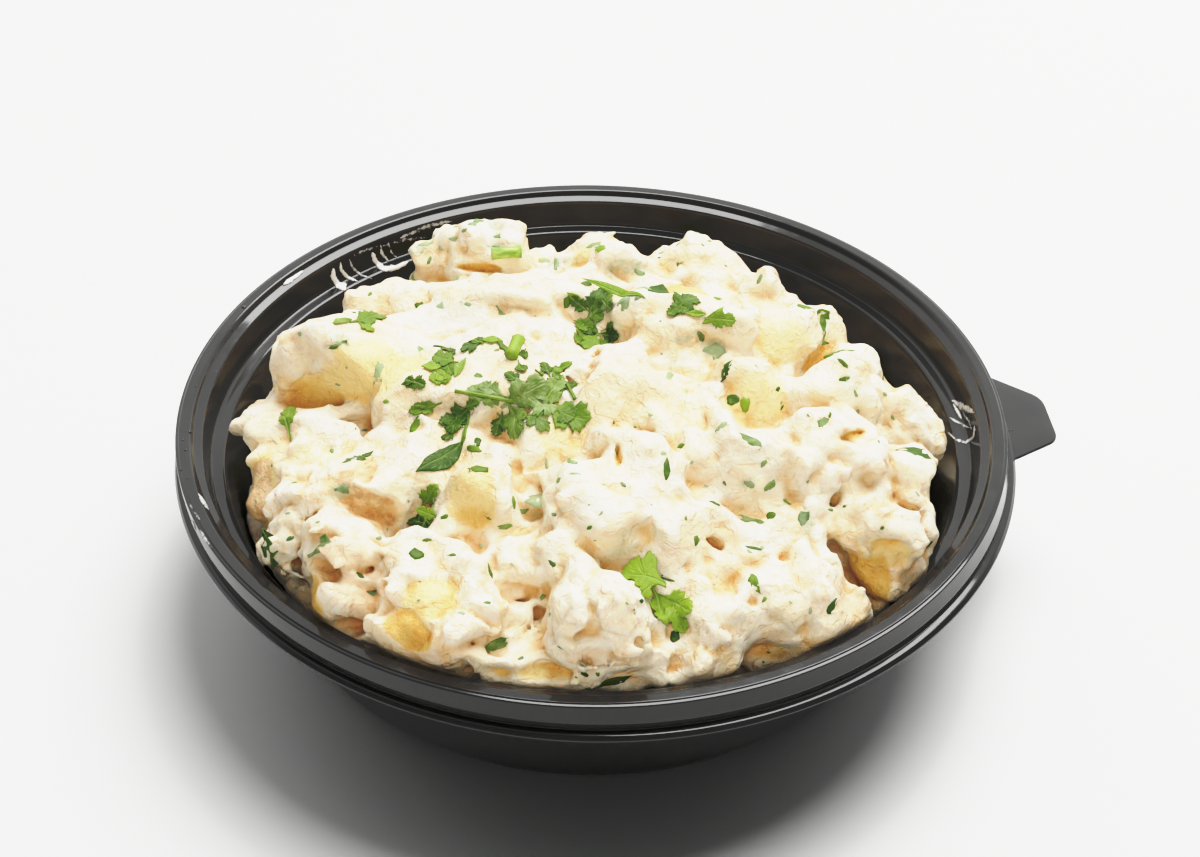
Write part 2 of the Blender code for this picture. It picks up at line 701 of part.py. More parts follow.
def build_herb(herb: Herb, ground: Ground, material: bpy.types.Material) -> bpy.types.Object:
    """Build one parsley piece, draped over what it lies on, with both faces split alike."""
    outline = blade_outline(herb) if herb.width else lobed_outline(herb.lobes)
    thickness = STEM_THICKNESS if herb.is_stem else HERB_THICKNESS
    longest = max(reach for _, reach in outline)
    rings = [1.0, 0.5] if longest > 5 * MM and not herb.width else [1.0]
    middle = Vector((herb.x, herb.y)) * MM
    flat = []
    for share in rings:
        edge = [Vector((math.cos(turn), math.sin(turn))) * reach for turn, reach in outline]
        flat.append([middle + spot * share for spot in edge])
    spots = [middle] + [spot for ring in flat for spot in ring]
    heights = draped_heights(spots, ground)
    bm = bmesh.new()
    layers = []
    count = len(outline)
    for offset in (0.0, thickness):
        verts = []
        for step, (spot, height) in enumerate(zip(spots, heights)):
            wave = 0.25 * MM * (1 + math.sin(2.4 * step))
            verts.append(bm.verts.new((spot.x, spot.y, height + GAP + wave + offset)))
        rows = [verts[1 + count * ring : 1 + count * (ring + 1)] for ring in range(len(rings))]
        layers.append((rows, verts[0]))
    for layer, (placed, centre) in enumerate(layers):
        for index in range(count):
            after = (index + 1) % count
            triangles = []
            for outer, inner in zip(placed, placed[1:]):
                triangles.append((outer[index], outer[after], inner[after]))
                triangles.append((outer[index], inner[after], inner[index]))
            triangles.append((placed[-1][index], placed[-1][after], centre))
            for triangle in triangles:
                bm.faces.new(triangle if layer else tuple(reversed(triangle)))
    lower, upper = layers[0][0][0], layers[1][0][0]
    for index in range(count):
        after = (index + 1) % count
        bm.faces.new((lower[index], lower[after], upper[after]))
        bm.faces.new((lower[index], upper[after], upper[index]))
    bmesh.ops.recalc_face_normals(bm, faces=bm.faces)
    while ground.touches(bm):
        bmesh.ops.translate(bm, verts=bm.verts, vec=(0, 0, 0.3 * MM))
    bmesh.ops.translate(bm, verts=bm.verts, vec=(0, 0, 0.15 * MM))
    obj = object_from(herb.name, bm, material)
    round_shaded(obj, 50)
    return obj


def main() -> None:
    """Build the bowl, the salad in it and the parsley on top."""
    remove_scene_objects()
    shape = BowlShape()
    build_bowl(shape)
    salad = build_salad(shape)
    ground = Ground()
    ground.add(salad)
    leaf_green = new_material("parsley_green", (0.09, 0.3, 0.03), 0.45)
    for herb in HERBS:
        ground.add(build_herb(herb, ground, leaf_green))


main()
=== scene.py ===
"""Looks of a potato salad heaped in a round black takeaway bowl, with parsley on top.

Every length is in metres unless a name or a docstring says millimetres. The frame is the
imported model's: the origin is the centre of the bowl's base, +Z is up, and the pull tab
points along +X. Small details are placed by the pixel of the 1200 x 857 picture that shows
them, and lie on whatever the camera meets there.
"""

import logging
import math
import random
from collections.abc import Callable, Sequence
from dataclasses import dataclass, field
from enum import Enum

import bmesh
import bpy
import numpy as np
from mathutils import Matrix, Vector
from mathutils.bvhtree import BVHTree

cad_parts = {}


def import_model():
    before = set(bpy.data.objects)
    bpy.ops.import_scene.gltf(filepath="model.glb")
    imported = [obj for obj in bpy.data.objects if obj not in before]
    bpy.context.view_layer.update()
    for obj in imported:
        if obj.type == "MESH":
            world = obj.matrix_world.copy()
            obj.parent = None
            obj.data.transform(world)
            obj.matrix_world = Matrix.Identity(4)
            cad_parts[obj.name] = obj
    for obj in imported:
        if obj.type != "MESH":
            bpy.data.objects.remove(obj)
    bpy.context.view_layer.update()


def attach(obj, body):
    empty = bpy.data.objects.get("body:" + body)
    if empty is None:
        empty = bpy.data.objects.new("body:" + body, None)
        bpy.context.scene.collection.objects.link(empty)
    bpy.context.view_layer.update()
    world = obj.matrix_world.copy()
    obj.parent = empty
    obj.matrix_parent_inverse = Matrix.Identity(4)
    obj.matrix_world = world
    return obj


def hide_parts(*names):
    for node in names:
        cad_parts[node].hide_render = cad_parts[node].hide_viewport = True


log = logging.getLogger("potato_salad")

MM = 0.001
SEED = 11
Pair = tuple[float, float]
Colour = tuple[float, float, float]


def operator(operation: str, swapped: bool = False) -> Callable[["Value", object], "Value"]:
    """Return a method that works out an operation on a value.

    Args:
        operation: The Math node's operation.
        swapped: Whether the value is the second number.

    Returns:
        The method.
    """

    def method(value: "Value", other: object) -> "Value":
        """Add the Math node and return its result."""
        pair = (other, value) if swapped else (value, other)
        node = value.graph.node("ShaderNodeMath", {"operation": operation}, dict(enumerate(pair)))
        return Value(value.graph, node.outputs[0])

    return method


class Value:
    """A number in a shader: each operator adds the Math node that works it out."""

    __add__ = operator("ADD")
    __radd__ = operator("ADD", True)
    __sub__ = operator("SUBTRACT")
    __rsub__ = operator("SUBTRACT", True)
    __mul__ = operator("MULTIPLY")

    def __init__(self, graph: "Graph", socket: bpy.types.NodeSocket) -> None:
        """Wrap an output socket of a graph."""
        self.graph = graph
        self.socket = socket

    def rise(self, low: float, high: float) -> "Value":
        """Return a soft step from 0 at low to 1 at high."""
        settings = {"interpolation_type": "SMOOTHSTEP", "clamp": True}
        sockets = {"Value": self, "From Min": low, "From Max": high}
        return Value(self.graph, self.graph.node("ShaderNodeMapRange", settings, sockets).outputs[0])

    def fall(self, low: float, high: float) -> "Value":
        """Return a soft step from 1 at low to 0 at high."""
        return 1.0 - self.rise(low, high)


class Graph:
    """The node tree of a material or of the room."""

    def __init__(
        self, owner: bpy.types.Material | bpy.types.World, shader: str = "Principled BSDF"
    ) -> None:
        """Take an owner whose tree holds the named shader and an output."""
        owner.use_nodes = True
        self.owner = owner
        self.tree = owner.node_tree
        self.shader = self.tree.nodes[shader]
        self.places = self.node("ShaderNodeTexCoord").outputs
        self.place = self.places["Object"]

    def node(
        self,
        kind: str,
        settings: dict[str, object] | None = None,
        sockets: dict[str | int, object] | None = None,
    ) -> bpy.types.Node:
        """Add a node.

        Args:
            kind: The node's type.
            settings: Properties of the node, set first.
            sockets: The number, colour, value or link of each input.

        Returns:
            The new node.
        """
        node = self.tree.nodes.new(kind)
        for name, setting in (settings or {}).items():
            setattr(node, name, setting)
        for name, given in (sockets or {}).items():
            self.give(node.inputs[name], given)
        return node

    def give(self, socket: bpy.types.NodeSocket, given: object) -> None:
        """Set an input to a number or colour, or link it to a value or an output.

        Args:
            socket: The input.
            given: What it gets.
        """
        if isinstance(given, Value):
            self.tree.links.new(given.socket, socket)
        elif isinstance(given, bpy.types.NodeSocket):
            self.tree.links.new(given, socket)
        elif isinstance(given, tuple) and socket.type == "RGBA":
            socket.default_value = (*given, 1.0)
        else:
            socket.default_value = given

    def attribute(self, name: str) -> Value:
        """Return a number that the mesh holds at its points."""
        settings = {"attribute_type": "GEOMETRY", "attribute_name": name}
        return Value(self, self.node("ShaderNodeAttribute", settings).outputs["Fac"])

    def stretched(self, scale: Sequence[float]) -> bpy.types.NodeSocket:
        """Return the place on the object, stretched by a factor for each axis."""
        node = self.node("ShaderNodeMapping", None, {"Vector": self.place, "Scale": scale})
        return node.outputs["Vector"]

    def noise(
        self,
        wavelength: float,
        detail: float = 2.0,
        roughness: float = 0.5,
        distortion: float = 0.0,
        place: bpy.types.NodeSocket | None = None,
    ) -> Value:
        """Return soft noise.

        Args:
            wavelength: The size of its features in metres.
            detail: How many finer layers it has.
            roughness: How strong the finer layers are.
            distortion: How much it swirls.
            place: Where it is read; the place on the object if left out.

        Returns:
            A value around 0.5.
        """
        sockets = {
            "Vector": place or self.place,
            "Scale": 1.0 / wavelength,
            "Detail": detail,
            "Roughness": roughness,
            "Distortion": distortion,
        }
        return Value(self, self.node("ShaderNodeTexNoise", None, sockets).outputs[0])

    def mix(
        self, factor: object, first: object, second: object, blend: str = "MIX"
    ) -> bpy.types.NodeSocket:
        """Blend two colours.

        Args:
            factor: The share of the second colour.
            first: The colour below.
            second: The colour laid on it.
            blend: How it is laid on.

        Returns:
            The blended colour.
        """
        settings = {"data_type": "RGBA", "blend_type": blend, "clamp_factor": True}
        return self.node("ShaderNodeMix", settings, {0: factor, 6: first, 7: second}).outputs[2]

    def bump(self, height: Value, distance: float, below: object = None) -> bpy.types.NodeSocket:
        """Return a normal tilted by a height.

        Args:
            height: The height, as a share of distance.
            distance: The height in metres that 1 stands for.
            below: A normal that this one is laid over.

        Returns:
            The normal.
        """
        sockets = {"Height": height, "Distance": distance}
        if below is not None:
            sockets["Normal"] = below
        return self.node("ShaderNodeBump", None, sockets).outputs["Normal"]

    def finish(self, sockets: dict[str, object]) -> bpy.types.Material | bpy.types.World:
        """Give the shader its inputs and return the tree's owner."""
        for name, given in sockets.items():
            self.give(self.shader.inputs[name], given)
        return self.owner


@dataclass(frozen=True)
class DressingFinish:
    """Mayonnaise dressing over boiled potato: cream where it is thick, flesh or skin where it is bare, with
    painted shade in crevices, hollows, creases and on faces turned from the light.
    """

    cream: Colour = (0.812, 0.744, 0.588)
    warm_cream: Colour = (0.86, 0.725, 0.48)
    thin_cream: Colour = (0.865, 0.695, 0.43)
    worn_cream: Colour = (0.86, 0.68, 0.43)
    # Tan: the colour of thin dressing on some patches, and painted shade on faces that turn away from the
    # light.
    tan: Colour = (0.76, 0.57, 0.37)
    pale_flesh: Colour = (0.86, 0.67, 0.31)
    # Deep flesh: the deeper yellow of some potato, and painted shade on flesh that faces down or lies in
    # hollows.
    deep_and_shaded_flesh: Colour = (0.70, 0.43, 0.11)
    skin: Colour = (0.62, 0.38, 0.18)
    pale_skin: Colour = (0.80, 0.59, 0.35)
    # Painted shade in the crevices, multiplied in where the surface folds in tightly.
    crevice: Colour = (0.94, 0.78, 0.60)
    # Painted shade in hollows and low parts of the heap, multiplied into the colour.
    recess: Colour = (0.88, 0.72, 0.54)
    stain: Colour = (0.38, 0.46, 0.32)
    # Painted shade along the creases where swells of dressing meet, multiplied into the colour.
    seam: Colour = (0.93, 0.73, 0.52)
    glow_reach: float = 1.5 * MM

    def build(self) -> bpy.types.Material:
        """Return the material, which reads the masks held by the salad's mesh."""
        graph = Graph(bpy.data.materials.new("dressed_potato"))
        names = ("bare", "skin", "recess", "crevice", "stain", "thick", "seam", "deep")
        bare, skin, recess, crevice, stain, thick, seam, deep = (graph.attribute(name) for name in names)
        patches = graph.noise(8 * MM, 3.0, 0.55)
        fine = graph.noise(1.6 * MM, 3.0, 0.6)
        cream = graph.mix(patches.rise(0.42, 0.68) * 0.8, self.cream, self.warm_cream)
        thin = (thick + patches * 1.6 - 0.8).fall(0.2, 1.6)
        cream = graph.mix(thin * 0.55, cream, self.thin_cream)
        grain = graph.noise(0.55 * MM, 2.0, 0.6)
        # Flesh turns deeper where the deep mask says and, as painted shade, in recesses.
        shade = (deep + recess * 0.2 + graph.noise(6 * MM, 2.0) * 0.8 - 0.4).rise(0.1, 0.95)
        flesh = graph.mix(shade, self.pale_flesh, self.deep_and_shaded_flesh)
        flesh = graph.mix(grain.rise(0.45, 0.7) * 0.25, flesh, self.thin_cream)
        peel = graph.mix(graph.noise(3 * MM, 4.0, 0.65).rise(0.4, 0.6), self.skin, self.pale_skin)
        edge = fine * 0.7 - 0.35
        drift = graph.noise(4.2 * MM, 3.0, 0.55, 0.8)
        worn = (drift + thin * 0.16 + seam * 0.05).rise(0.55, 0.64)
        cream = graph.mix(worn * 0.5, cream, self.worn_cream)
        # Tan patches: painted shade on faces turned from the light in front, tan dressing on the far side.
        tan = (graph.attribute("tan") + drift * 1.2 - 0.6).rise(0.1, 0.9)
        cream = graph.mix(tan * 0.85, cream, self.tan)
        colour = graph.mix((bare + edge).rise(0.25, 0.7), cream, flesh)
        colour = graph.mix((skin + edge).rise(0.3, 0.7), colour, peel)
        colour = graph.mix((stain + (fine - 0.5)).rise(0.22, 0.85) * 0.75, colour, self.stain)
        # Painted shade along the creases between swells.
        colour = graph.mix(seam * (0.45 + fine * 0.9), colour, self.seam, "MULTIPLY")
        # Painted shade in tight crevices.
        pinch = (crevice + (fine - 0.5) * 0.1).rise(0.0, 0.16)
        colour = graph.mix(pinch, colour, self.crevice, "MULTIPLY")
        # Painted shade in hollows and low parts.
        colour = graph.mix(recess.rise(0.1, 1.0), colour, self.recess, "MULTIPLY")
        soft = graph.noise(2.6 * MM, 4.0, 0.6, 0.8)
        relief = graph.bump(soft, 0.8 * MM)
        relief = graph.bump(worn * -1.0 + fine * 0.5, 0.2 * MM, relief)
        relief = graph.bump(grain * bare.rise(0.3, 0.8), 0.16 * MM, relief)
        return graph.finish(
            {
                "Base Color": colour,
                "Roughness": 0.26 + bare.rise(0.2, 0.8) * 0.14 + fine * 0.14,
                "Normal": relief,
                "IOR": 1.42,
                "Subsurface Weight": 0.5,
                "Subsurface Radius": (1.0, 0.6, 0.3),
                "Subsurface Scale": self.glow_reach,
            }
        )


@dataclass(frozen=True)
class PlasticFinish:
    """Thin glossy black thermoformed sheet, with faint rub marks."""

    name: str = "black_plastic"
    colour: Colour = (0.02, 0.02, 0.0195)
    shine: float = 0.5
    roughness: float = 0.075

    def build(self) -> bpy.types.Material:
        """Return the material."""
        graph = Graph(bpy.data.materials.new(self.name))
        cloud = graph.noise(14 * MM, 4.0, 0.6)
        rub = graph.noise(5 * MM, 3.0, 0.6, 0.0, graph.stretched((1.0, 1.0, 6.0)))
        colour = graph.mix(cloud.rise(0.4, 0.75) * 0.5, self.colour, (0.03, 0.03, 0.029))
        return graph.finish(
            {
                "Base Color": colour,
                "Roughness": self.roughness + rub.rise(0.45, 0.75) * 0.07,
                "Specular IOR Level": self.shine,
                "Normal": graph.bump(graph.noise(11 * MM, 1.0), 0.12 * MM),
                "IOR": 1.47,
            }
        )


@dataclass(frozen=True)
class LeafFinish:
    """Fresh parsley: veined green, dulled where a film of dressing lies on it."""

    bright: Colour = (0.185, 0.305, 0.02)
    dark: Colour = (0.03, 0.075, 0.004)
    vein: Colour = (0.33, 0.48, 0.12)
    film: Colour = (0.44, 0.52, 0.32)

    def build(self) -> bpy.types.Material:
        """Return the material, which reads the tone, vein and film masks of a leaf's mesh."""
        graph = Graph(bpy.data.materials.new("parsley_leaf"))
        tone, vein, film = (graph.attribute(name) for name in ("tone", "vein", "film"))
        blotch = graph.noise(2.2 * MM, 3.0, 0.6)
        colour = graph.mix((tone + blotch * 0.5 - 0.25).rise(0.0, 1.0), self.dark, self.bright)
        colour = graph.mix(vein * 0.45, colour, self.vein)
        smear = (film + blotch * 0.7 - 0.35).rise(0.25, 0.95)
        colour = graph.mix(smear * 0.7, colour, self.film)
        relief = graph.bump(vein * -1.0 + blotch * 0.5, 0.25 * MM)
        return graph.finish(
            {
                "Base Color": colour,
                "Roughness": 0.42 + blotch * 0.2,
                "Normal": relief,
                "Specular IOR Level": 0.3,
                "Subsurface Weight": 0.15,
                "Subsurface Radius": (0.5, 1.0, 0.2),
                "Subsurface Scale": 0.6 * MM,
            }
        )


@dataclass(frozen=True)
class StalkFinish:
    """Cut parsley stalk: pale green with lengthwise ribs."""

    pale: Colour = (0.36, 0.52, 0.10)
    green: Colour = (0.15, 0.31, 0.03)

    def build(self) -> bpy.types.Material:
        """Return the material."""
        graph = Graph(bpy.data.materials.new("parsley_stalk"))
        rib = graph.noise(0.7 * MM, 2.0, 0.5, 0.0, graph.stretched((0.2, 1.0, 1.0)))
        colour = graph.mix(rib.rise(0.35, 0.65), self.green, self.pale)
        return graph.finish(
            {"Base Color": colour, "Roughness": 0.35 + rib * 0.2, "Normal": graph.bump(rib, 0.15 * MM)}
        )


@dataclass(frozen=True)
class SmearFinish:
    """A thin smear of dressing on plastic: greyish where it is thinnest."""

    thick: Colour = (0.74, 0.75, 0.72)
    thin: Colour = (0.22, 0.235, 0.25)

    def build(self) -> bpy.types.Material:
        """Return the material, which reads the smear's thickness from its mesh."""
        graph = Graph(bpy.data.materials.new("dressing_smear"))
        body = graph.attribute("body")
        streak = graph.noise(1.2 * MM, 3.0, 0.6)
        colour = graph.mix((body + streak * 0.8 - 0.4).rise(0.15, 0.85), self.thin, self.thick)
        return graph.finish(
            {
                "Base Color": colour,
                "Roughness": 0.25 + streak * 0.2,
                "Alpha": (body * 1.1 + streak * 1.8 - 1.0).rise(0.0, 0.45),
                "Normal": graph.bump(streak, 0.2 * MM),
            }
        )


@dataclass(frozen=True)
class DropFinish:
    """Beads of moisture on black plastic: dark, with a sharp highlight."""

    colour: Colour = (0.03, 0.03, 0.03)

    def build(self) -> bpy.types.Material:
        """Return the material."""
        graph = Graph(bpy.data.materials.new("moisture"))
        haze = graph.noise(1.0 * MM, 1.0)
        return graph.finish({"Base Color": self.colour, "Roughness": 0.03 + haze * 0.04, "IOR": 1.4})


@dataclass(frozen=True)
class FloorFinish:
    """Matt white studio paper."""

    colour: Colour = (0.93, 0.93, 0.925)

    def build(self) -> bpy.types.Material:
        """Return the material."""
        graph = Graph(bpy.data.materials.new("white_paper"))
        cloud = graph.noise(0.4, 2.0)
        colour = graph.mix(cloud * 0.3, self.colour, (0.915, 0.915, 0.91))
        return graph.finish(
            {"Base Color": colour, "Roughness": 0.75 + cloud * 0.1, "Specular IOR Level": 0.2}
        )


def mesh_object(
    name: str,
    verts: np.ndarray,
    faces: np.ndarray | list[tuple[int, ...]],
    material: bpy.types.Material,
) -> bpy.types.Object:
    """Make a smooth-shaded mesh object.

    Args:
        name: The piece's name.
        verts: Its points, in metres.
        faces: Its faces, as rows of point numbers.
        material: Its finish.

    Returns:
        The new object.
    """
    mesh = bpy.data.meshes.new(name)
    rows = faces.tolist() if isinstance(faces, np.ndarray) else faces
    mesh.from_pydata(np.asarray(verts, float).tolist(), [], rows)
    mesh.materials.append(material)
    mesh.shade_smooth()
    mesh.update()
    obj = bpy.data.objects.new(name, mesh)
    bpy.context.scene.collection.objects.link(obj)
    return obj


def band(near: int, far: int, count: int) -> list[tuple[int, int, int, int]]:
    """Return the faces between two closed rings of points.

    Args:
        near: The number of the first ring's first point.
        far: The number of the second ring's first point.
        count: How many points each ring has.

    Returns:
        The faces, by their point numbers.
    """
    steps = [(step, (step + 1) % count) for step in range(count)]
    return [(near + step, near + after, far + after, far + step) for step, after in steps]


def fan(hub: int, ring: int, count: int) -> list[tuple[int, int, int]]:
    """Return the faces between a point and the closed ring of points about it, by their numbers."""
    return [(hub, ring + step, ring + (step + 1) % count) for step in range(count)]


def flipped(faces: list[tuple[int, ...]]) -> list[tuple[int, ...]]:
    """Return faces turned to the other side, each from the same first point."""
    return [(face[0], *face[:0:-1]) for face in faces]


def hold(obj: bpy.types.Object, name: str, values: np.ndarray) -> None:
    """Store a number for each point of a mesh.

    Args:
        obj: The piece.
        name: The attribute's name.
        values: One number for each point.
    """
    attribute = obj.data.attributes.new(name, "FLOAT", "POINT")
    attribute.data.foreach_set("value", np.asarray(values, np.float32))


def smoothstep(low: float, high: float, values: np.ndarray) -> np.ndarray:
    """Return a soft step from 0 at low to 1 at high; it falls where low is above high."""
    share = np.clip((values - low) / (high - low), 0.0, 1.0)
    return share * share * (3.0 - 2.0 * share)


def soft_max(first: np.ndarray, second: np.ndarray, reach: float) -> np.ndarray:
    """Return the larger of two distances, blended where they differ by less than about the reach."""
    return reach * np.logaddexp(first / reach, second / reach)


@dataclass(frozen=True)
class PictureCamera:
    """The camera, where it has to stand to see the bowl as the picture does."""

    lens: float = 60.0
    sensor: float = 36.0
    wide: int = 1200
    high: int = 857
    place: tuple[float, float, float] = (-0.0297067, -0.36132995, 0.33195267)
    right: tuple[float, float, float] = (0.997105, -0.074414, 0.015614)
    up: tuple[float, float, float] = (0.034717, 0.628279, 0.777213)
    ahead: tuple[float, float, float] = (0.067645, 0.774421, -0.629044)

    @property
    def focal(self) -> float:
        """The focal length in pixels of the picture."""
        return self.wide * self.lens / self.sensor

    def build(self) -> bpy.types.Object:
        """Add the camera to the scene and return it."""
        data = bpy.data.cameras.new("camera")
        data.lens = self.lens
        data.sensor_width = self.sensor
        data.sensor_fit = "HORIZONTAL"
        data.clip_start = 0.01
        data.clip_end = 30.0
        camera = bpy.data.objects.new("camera", data)
        columns = (self.right, self.up, tuple(-part for part in self.ahead))
        turn = Matrix(columns).transposed().to_4x4()
        camera.matrix_world = Matrix.Translation(self.place) @ turn
        bpy.context.scene.collection.objects.link(camera)
        bpy.context.scene.camera = camera
        return camera

    def ray(self, u: float, v: float) -> np.ndarray:
        """Return the direction in which the camera sees a pixel.

        Args:
            u: The pixel's column.
            v: The pixel's row.

        Returns:
            A unit vector.
        """
        across = (u - self.wide / 2) / self.focal
        along = (self.high / 2 - v) / self.focal
        way = np.array(self.ahead) + across * np.array(self.right) + along * np.array(self.up)
        return way / np.linalg.norm(way)

    def depth(self, point: np.ndarray) -> float:
        """Return how far a point lies along the view, in metres."""
        return float((point - np.array(self.place)) @ np.array(self.ahead))


class Grain:
    """Smooth random relief in space: a lattice of random heights read through a cubic spline."""

    SIZE = 40
    SPREAD = 0.331

    def __init__(self, seed: int, wavelength: float) -> None:
        """Draw the lattice.

        Args:
            seed: The draw's seed.
            wavelength: The lattice's spacing, in millimetres.
        """
        self.lattice = np.random.default_rng(seed).standard_normal((self.SIZE,) * 3)
        self.wavelength = wavelength

    def weights(self, places: np.ndarray) -> tuple[np.ndarray, np.ndarray]:
        """Return the four lattice lines near each place, and the share of each.

        Args:
            places: Coordinates along one axis, in millimetres.

        Returns:
            The numbers of the lines and their shares, four for each place.
        """
        along = places / self.wavelength + 3 * self.SIZE
        first = np.floor(along).astype(int)
        t = along - first
        shares = np.stack(
            (
                (1 - t) ** 3 / 6,
                (3 * t**3 - 6 * t**2 + 4) / 6,
                (-3 * t**3 + 3 * t**2 + 3 * t + 1) / 6,
                t**3 / 6,
            ),
            -1,
        )
        lines = (first[..., None] + np.arange(4)) % self.SIZE
        return lines, shares

    def over(self, axes: Sequence[np.ndarray]) -> np.ndarray:
        """Return the relief all over a block of sample points.

        Args:
            axes: The block's coordinates along each axis.

        Returns:
            One number for each sample point, with a spread of about 1.
        """
        block = self.lattice
        for axis, places in enumerate(axes):
            lines, shares = self.weights(places)
            reader = np.zeros((len(places), self.SIZE))
            np.add.at(reader, (np.arange(len(places))[:, None], lines), shares)
            block = np.moveaxis(np.tensordot(reader, block, (1, axis)), 0, axis)
        return (block / self.SPREAD).astype(np.float32)

    def at(self, points: np.ndarray) -> np.ndarray:
        """Return the relief at some points, given in millimetres."""
        (i, a), (j, b), (k, c) = (self.weights(points[:, axis]) for axis in range(3))
        total = np.zeros(len(points))
        for x in range(4):
            for y in range(4):
                for z in range(4):
                    share = a[:, x] * b[:, y] * c[:, z]
                    total += share * self.lattice[i[:, x], j[:, y], k[:, z]]
        return total / self.SPREAD


def knobs(points: np.ndarray, spacing: float, seed: int) -> np.ndarray:
    """Return a relief of rounded knobs, one about each of scattered points.

    Args:
        points: The points, in millimetres.
        spacing: The mean distance between the knobs, in millimetres.
        seed: The draw's seed.

    Returns:
        Numbers from 0 between the knobs to 1 on top of them.
    """
    size, reach = 64, 0.62
    jitter = np.random.default_rng(seed).random((size, size, size, 3)).astype(np.float32)
    place = points / spacing
    cell = np.floor(place).astype(np.int64)
    share = (place - cell).astype(np.float32)
    nearest = np.full(len(points), 9.0, np.float32)
    for x in (-1, 0, 1):
        for y in (-1, 0, 1):
            for z in (-1, 0, 1):
                move = np.array([x, y, z])
                i, j, k = ((cell + move) % size).T
                gap = jitter[i, j, k] + move - share
                np.minimum(nearest, np.einsum("ij,ij->i", gap, gap), out=nearest)
    return np.clip(1.0 - nearest / reach, 0.0, 1.0)


